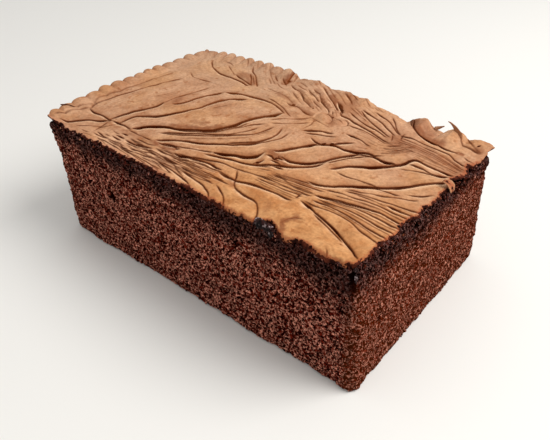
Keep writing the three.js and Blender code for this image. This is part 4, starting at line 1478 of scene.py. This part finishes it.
def build_bits(name, finish, draw, places, radii, flatness, values):
    """Rough little lumps at the given places as one piece; each value is one for each lump."""
    unit, unit_faces = ball(LUMP_ROUNDS)
    count = len(places)
    stretch = draw.uniform(*BIT_STRETCH, (count, 1, 3)) * np.array([1.0, 1.0, flatness])
    bumps = draw.uniform(*BIT_BUMPS, (count, len(unit), 1))
    points = places[:, None] + radii[:, None, None] * stretch * bumps * unit
    faces = unit_faces + len(unit) * np.arange(count)[:, None, None]
    values = {key: np.repeat(value, len(unit)) for key, value in values.items()}
    make_piece(name, points.reshape(-1, 3), faces.reshape(-1, 3).tolist(), finish, values)


def on_wall(column, height, out):
    """Places on the walls at columns of the outline and heights, and a little out from them."""
    outline, normals, *_ = loaf_outline(CRUMB_COLUMNS)
    aside = stand_aside(outline[column, 0], outline[column, 1], height)
    flat = outline[column] + aside + out[:, None] * normals[column]
    return np.column_stack([flat, height])


def build_crumbs(finish):
    """Crumbs that cling to the walls, most of them low down."""
    draw = np.random.default_rng(CRUMB_SEED)
    radii = draw.uniform(*CRUMB_RADIUS, CRUMBS)
    column = draw.integers(0, CRUMB_COLUMNS, CRUMBS)
    low = draw.uniform(0, 1, CRUMBS) < CRUMB_LOW_SHARE
    low_height = CRUMB_LOW_RISE * radii + CRUMB_LOW_BAND * draw.uniform(0, 1, CRUMBS)
    height = np.where(low, low_height, draw.uniform(*CRUMB_HEIGHTS, CRUMBS))
    places = on_wall(column, height, CRUMB_SINK * (radii - 1))
    values = {"pit": np.zeros(CRUMBS), "sear_and_shade": np.zeros(CRUMBS)}
    build_bits("clinging_crumbs", finish, draw, places, radii, 1.0, values)


def torn_edge(draw, count, reach):
    """Random places on the walls close under the torn front and plain end edges of the crust."""
    outline, normals, place, _ = loaf_outline(CRUMB_COLUMNS)
    torn = np.flatnonzero((normals[:, 1] < -TORN_SIDES) | (normals[:, 0] > TORN_SIDES))
    column = torn[draw.integers(0, len(torn), count)]
    depth = reach * draw.uniform(0, 1, count) ** TORN_GATHER
    height = crumb_top(outline, place)[column] - depth
    out = draw.uniform(*TORN_OUT, count) - TORN_TUCK * hump(depth, TORN_TUCK_BAND)
    return on_wall(column, height, out)


def build_burnt_bits(finish):
    """Burnt crumbs under the torn edge of the crust."""
    draw = np.random.default_rng(BURNT_SEED)
    radii = draw.uniform(*BURNT_RADIUS, BURNT_BITS)
    places = torn_edge(draw, BURNT_BITS, BURNT_REACH)
    values = {"pit": np.zeros(BURNT_BITS), "sear_and_shade": draw.uniform(*BURNT_SEAR, BURNT_BITS)}
    build_bits("burnt_bits", finish, draw, places, radii, 1.0, values)


def build_shreds(finish):
    """Shreds of crust that hang on below its torn edge."""
    draw = np.random.default_rng(SHRED_SEED)
    radii = draw.uniform(*SHRED_RADIUS, SHREDS)
    places = torn_edge(draw, SHREDS, SHRED_REACH)
    values = plain_skin(SHREDS, draw.uniform(*SHRED_TORN, SHREDS), draw.uniform(*SHRED_BROWN, SHREDS))
    build_bits("crust_shreds", finish, draw, places, radii, SHRED_FLATNESS, values)


# Finishes

def node(tree, kind, inputs=None, **settings):
    """Adds a node, sets its settings, and sets or joins its inputs by name or number."""
    made = tree.nodes.new(kind)
    for name, value in settings.items():
        setattr(made, name, value)
    for name, value in (inputs or {}).items():
        socket = made.inputs[name]
        if isinstance(value, bpy.types.NodeSocket):
            tree.links.new(value, socket)
        else:
            socket.default_value = value
    return made


def mix_colour(tree, share, first, second, blend="MIX"):
    """The first colour with a share of the second over it."""
    mixed = node(tree, "ShaderNodeMix", {0: share, 6: first, 7: second}, data_type="RGBA", blend_type=blend)
    return mixed.outputs[2]


def remap(tree, value, low, high, to_low=0.0, to_high=1.0):
    """A value taken smoothly from one range to another."""
    inputs = {"Value": value, "From Min": low, "From Max": high, "To Min": to_low, "To Max": to_high}
    return node(tree, "ShaderNodeMapRange", inputs, interpolation_type="SMOOTHSTEP").outputs[0]


def combine(tree, operation, *values):
    """What a sum or other operation makes of its values."""
    return node(tree, "ShaderNodeMath", dict(enumerate(values)), operation=operation).outputs[0]


def attribute(tree, name):
    """A value that a mesh keeps at its points."""
    return node(tree, "ShaderNodeAttribute", attribute_name=name).outputs["Fac"]


def object_place(tree):
    """The place on the object, in metres."""
    return node(tree, "ShaderNodeTexCoord").outputs["Object"]


def noise(tree, scale, detail, roughness=0.5, place=None):
    """Noise over the place given, or else over the object."""
    if place is None:
        place = object_place(tree)
    inputs = {"Vector": place, "Scale": scale, "Detail": detail, "Roughness": roughness}
    return node(tree, "ShaderNodeTexNoise", inputs).outputs[0]


def plan_mask(tree, where, along, across):
    """A mask over the plan that rises between two places along the loaf and between two across it."""
    return combine(tree, "MULTIPLY", remap(tree, where["X"], *along), remap(tree, where["Y"], *across))


def new_group(name, inputs, outputs):
    """A shader node group with named sockets, its input node and its output node."""
    group = bpy.data.node_groups.new(name, "ShaderNodeTree")
    for key, (kind, value) in inputs.items():
        socket = group.interface.new_socket(key, in_out="INPUT", socket_type=kind)
        socket.default_value = value
    for key, kind in outputs.items():
        group.interface.new_socket(key, in_out="OUTPUT", socket_type=kind)
    return group, node(group, "NodeGroupInput").outputs, node(group, "NodeGroupOutput").inputs


def place_group(tree, group, inputs):
    """The outputs of a group that is added to a finish with its own values."""
    made = node(tree, "ShaderNodeGroup", node_tree=group)
    for name, value in inputs.items():
        made.inputs[name].default_value = value
    return made.outputs


def mottle_group():
    """Uneven browning: a colour between pale and deep, and the grain that made it."""
    group, given, made = new_group(
        "baked_mottle",
        {
            "Pale": ("NodeSocketColor", (1, 1, 1, 1)),
            "Deep": ("NodeSocketColor", (0, 0, 0, 1)),
            "Scale": ("NodeSocketFloat", 60.0),
        },
        {"Color": "NodeSocketColor", "Grain": "NodeSocketFloat"},
    )
    grain = noise(group, given["Scale"], 6.0, 0.62)
    share = remap(group, grain, 0.34, 0.66)
    group.links.new(mix_colour(group, share, given["Deep"], given["Pale"]), made["Color"])
    group.links.new(grain, made["Grain"])
    return group


def pore_group():
    """Open pores: masks, 1 in a pore, where shade is painted, and 1 on the bright walls that curl between,
    which are lighter and take a painted sheen, and their height.
    """
    group, given, made = new_group(
        "open_pores",
        {"Scale": ("NodeSocketFloat", 420.0)},
        {"Shaded_Pore": "NodeSocketFloat", "Sheened_Wall": "NodeSocketFloat", "Height": "NodeSocketFloat"},
    )
    place = object_place(group)

    def field(share, away):
        moved = node(group, "ShaderNodeVectorMath", {0: place, 1: (away, 0.0, 0.0)}, operation="ADD")
        scale = combine(group, "MULTIPLY", given["Scale"], share)
        return noise(group, scale, 1.0, place=moved.outputs[0])

    def curls(value, strength):
        from_curl = combine(group, "ABSOLUTE", combine(group, "SUBTRACT", value, 0.5))
        return remap(group, from_curl, 0.014, 0.072, strength, 0.0)

    wall = combine(group, "MAXIMUM", curls(field(1.0, 0.0), 1.0), curls(field(1.5, 1.0), 0.8))
    wall = combine(group, "MULTIPLY", wall, remap(group, field(1.1, 2.0), 0.38, 0.62))
    pore = remap(group, field(1.25, 3.0), 0.45, 0.545)
    pore = combine(group, "MULTIPLY", pore, remap(group, wall, 0.2, 0.7, 1.0, 0.1))
    group.links.new(pore, made["Shaded_Pore"])
    group.links.new(wall, made["Sheened_Wall"])
    group.links.new(combine(group, "SUBTRACT", wall, pore), made["Height"])
    return group


def new_finish(name, roughness, specular):
    """A material with its node tree and shader."""
    material = bpy.data.materials.new(name)
    material.use_nodes = True
    shader = material.node_tree.nodes["Principled BSDF"]
    shader.inputs["Roughness"].default_value = roughness
    shader.inputs["Specular IOR Level"].default_value = specular
    return material, material.node_tree, shader


def roughen(tree, shader, strength, distance, height):
    """Gives a shader small bumps of a height."""
    bump = node(tree, "ShaderNodeBump", {"Strength": strength, "Distance": distance, "Height": height})
    tree.links.new(bump.outputs[0], shader.inputs["Normal"])


def crust_finish(mottle):
    """Thin tan skin, golden towards the plain front corner, with painted shade in dark lines along the folds
    and in their valleys, and painted shade and highlights on the banks beside them.
    """
    material, tree, shader = new_finish("crust_skin", 0.6, 0.02)
    rosy = {"Pale": srgb(204, 159, 126), "Deep": srgb(176, 125, 92), "Scale": 70.0}
    gold = {"Pale": srgb(212, 156, 106), "Deep": srgb(182, 120, 72), "Scale": 90.0}
    where = node(tree, "ShaderNodeSeparateXYZ", {0: object_place(tree)}).outputs
    toast = plan_mask(tree, where, END_TOAST, FRONT_TOAST)
    skin = mix_colour(tree, toast, *(place_group(tree, mottle, own)["Color"] for own in (rosy, gold)))
    backward = combine(tree, "MULTIPLY", plan_mask(tree, where, *PALE_BACK), PALE_BACK_SHARE)
    skin = mix_colour(tree, backward, skin, srgb(188, 152, 124))
    follows = {"blotch": noise(tree, 38.0, 3.0), "fleck": noise(tree, 240.0, 2.0)}
    for name in ("browned_and_painted_light", "streak", "valley_shade", "bank_shading"):
        follows[name] = attribute(tree, name)
    for name, start, end, most, colour in CRUST_STAINS_AND_SHADING:
        skin = mix_colour(tree, remap(tree, follows[name], start, end, 0.0, most), skin, srgb(*colour))
    # Painted shade in the fold creases: an orange-brown fringe, then the dark line, browner inland
    crease_shade = attribute(tree, "crease_shade")
    gap = attribute(tree, "gap")
    edge = combine(tree, "MULTIPLY", remap(tree, gap, 0.6, 0.1), remap(tree, crease_shade, 0.0, 0.8, 0.1, 0.5))
    skin = mix_colour(tree, edge, skin, srgb(138, 68, 24))
    speckle = remap(tree, noise(tree, 620.0, 3.0), 0.3, 0.7, 0.87, 1.1)
    skin = mix_colour(tree, 1.0, skin, speckle, "MULTIPLY")
    sharp = remap(tree, gap, LINE_FADE[0], LINE_FADE[1], 1.0, 0.0)
    line = combine(tree, "MULTIPLY", sharp, remap(tree, crease_shade, 0.0, 0.75, 0.18, 1.0))
    inland = plan_mask(tree, where, *SOFT_LINES)
    line_shade = mix_colour(tree, inland, srgb(60, 16, 0), srgb(98, 48, 18))
    skin = mix_colour(tree, line, skin, line_shade)
    frayed = remap(tree, noise(tree, 100.0, 8.0, 0.72), 0.3, 0.7, -1.1, 1.1)
    inside = combine(tree, "ADD", attribute(tree, "whole"), frayed)
    endward = remap(tree, where["X"], *END_TOAST)
    singed = mix_colour(tree, endward, srgb(200, 140, 108), srgb(156, 80, 50))
    skin = mix_colour(tree, remap(tree, inside, 1.7, 0.3, 0.0, 0.7), skin, singed)
    specks = remap(tree, noise(tree, 520.0, 3.0), 0.35, 0.65, -0.4, 0.4)
    torn = combine(tree, "ADD", inside, specks)
    burnt = place_group(tree, mottle, {"Pale": srgb(92, 42, 28), "Deep": srgb(28, 9, 7), "Scale": 260.0})
    skin = mix_colour(tree, remap(tree, torn, 0.3, -0.1), skin, burnt["Color"])
    tree.links.new(skin, shader.inputs["Base Color"])
    roughen(tree, shader, 0.6, 0.0004, noise(tree, 800.0, 4.0))
    return material


def crumb_finish(mottle, pores):
    """Moist chocolate sponge: pores with painted shade between lighter walls with a painted sheen, seared
    and in painted shade nearly black under the crust, with painted warmer light on the plain end's wall.
    """
    material, tree, shader = new_finish("open_crumb", 0.75, 0.0)
    walls = place_group(tree, mottle, {"Pale": srgb(106, 30, 17), "Deep": srgb(76, 12, 3), "Scale": 160.0})
    fine = place_group(tree, pores, {"Scale": 610.0})
    # Lighter walls between the pores, with a painted sheen on them
    sponge = mix_colour(tree, fine["Sheened_Wall"], walls["Color"], srgb(252, 170, 144))
    # Painted shade in the pores and holes
    pit = remap(tree, attribute(tree, "pit"), 0.15, 0.85)
    pit = combine(tree, "MAXIMUM", pit, fine["Shaded_Pore"])
    sponge = mix_colour(tree, pit, sponge, srgb(24, 0, 0))
    along = node(tree, "ShaderNodeSeparateXYZ", {0: object_place(tree)}).outputs["X"]
    # Painted warmer light on the plain end's wall
    end_wall_light = remap(tree, along, *END_WALL_LIGHT, 0.0, END_WALL_LIGHT_SHARE)
    sponge = mix_colour(tree, end_wall_light, sponge, srgb(88, 36, 6))
    # Band under the crust: seared, and painted shade under the overhanging crust
    sear_and_shade = attribute(tree, "sear_and_shade")
    burnt = place_group(tree, mottle, {"Pale": srgb(74, 33, 26), "Deep": srgb(30, 11, 9), "Scale": 230.0})
    # Painted grey glints on the walls of the seared band, and painted shade in its pores
    seared_and_shaded = mix_colour(tree, fine["Sheened_Wall"], burnt["Color"], srgb(116, 82, 76))
    seared_and_shaded = mix_colour(tree, pit, seared_and_shaded, srgb(12, 3, 2))
    sponge = mix_colour(tree, sear_and_shade, sponge, seared_and_shaded)
    tree.links.new(sponge, shader.inputs["Base Color"])
    roughen(tree, shader, 0.8, 0.0008, fine["Height"])
    return material


def blister_finish(mottle):
    """Burnt batter, black, with painted pale glints."""
    material, tree, shader = new_finish("burnt_gloss", 0.3, 0.1)
    burnt = place_group(tree, mottle, {"Pale": srgb(52, 24, 22), "Deep": srgb(10, 4, 4), "Scale": 300.0})
    # Painted highlights: pale glints
    painted_glint = remap(tree, noise(tree, 420.0, 2.0), 0.55, 0.68, 0.0, 0.8)
    batter = mix_colour(tree, painted_glint, burnt["Color"], srgb(172, 152, 152))
    tree.links.new(batter, shader.inputs["Base Color"])
    tree.links.new(remap(tree, burnt["Grain"], 0.35, 0.65, 0.5, 0.15), shader.inputs["Roughness"])
    roughen(tree, shader, 0.8, 0.0008, burnt["Grain"])
    return material


# Stage

def set_camera():
    """The camera at the photograph's viewing angle."""
    azimuth, elevation, roll = (math.radians(a) for a in (CAMERA_AZIMUTH, CAMERA_ELEVATION, CAMERA_ROLL))
    level = math.cos(elevation)
    forward = Vector((-math.sin(azimuth) * level, math.cos(azimuth) * level, -math.sin(elevation)))
    flat_right = forward.cross(Vector((0, 0, 1))).normalized()
    flat_up = flat_right.cross(forward)
    right = flat_right * math.cos(roll) + flat_up * math.sin(roll)
    up = right.cross(forward)
    data = bpy.data.cameras.new("camera")
    data.lens = CAMERA_LENS
    data.sensor_width = SENSOR_WIDTH
    camera = bpy.data.objects.new("camera", data)
    turn = Matrix((right, up, -forward)).transposed().to_4x4()
    place = Vector(CAMERA_PLACE) + Vector(TOP_MIDDLE)
    camera.matrix_world = Matrix.Translation(place * MM) @ turn
    bpy.context.scene.collection.objects.link(camera)
    bpy.context.scene.camera = camera


def add_soft_light():
    """A broad light from over the back right corner."""
    data = bpy.data.lights.new("soft_light", "AREA")
    data.shape = "DISK"
    data.size = LIGHT_SIZE
    data.energy = LIGHT_POWER
    data.color = LIGHT_COLOUR
    light = bpy.data.objects.new("soft_light", data)
    light.location = LIGHT_PLACE
    aim = Vector(LIGHT_TARGET) - Vector(LIGHT_PLACE)
    light.rotation_euler = aim.to_track_quat("-Z", "Y").to_euler()
    bpy.context.scene.collection.objects.link(light)


def set_stage():
    """A pale floor under a soft overhead light and a softer sky."""
    bpy.ops.mesh.primitive_plane_add(size=FLOOR_SIZE)
    floor = bpy.context.object
    floor.name = "floor"
    material, _, shader = new_finish("pale_floor", 0.6, 0.2)
    shader.inputs["Base Color"].default_value = srgb(236, 235, 232)
    floor.data.materials.append(material)
    add_soft_light()
    world = bpy.data.worlds.new("studio")
    world.use_nodes = True
    sky = world.node_tree.nodes["Background"]
    sky.inputs["Color"].default_value = SKY_COLOUR
    sky.inputs["Strength"].default_value = SKY_STRENGTH
    bpy.context.scene.world = world
    bpy.context.scene.view_settings.view_transform = "Standard"


set_camera()
set_stage()
mottle = mottle_group()
pores = pore_group()
skin = crust_finish(mottle)
sponge = crumb_finish(mottle, pores)
build_crust(skin)
build_crumb(sponge)
for scrap in SCRAPS:
    build_scrap(skin, *scrap)
build_blisters(blister_finish(mottle))
build_crumbs(sponge)
build_burnt_bits(sponge)
build_shreds(skin)
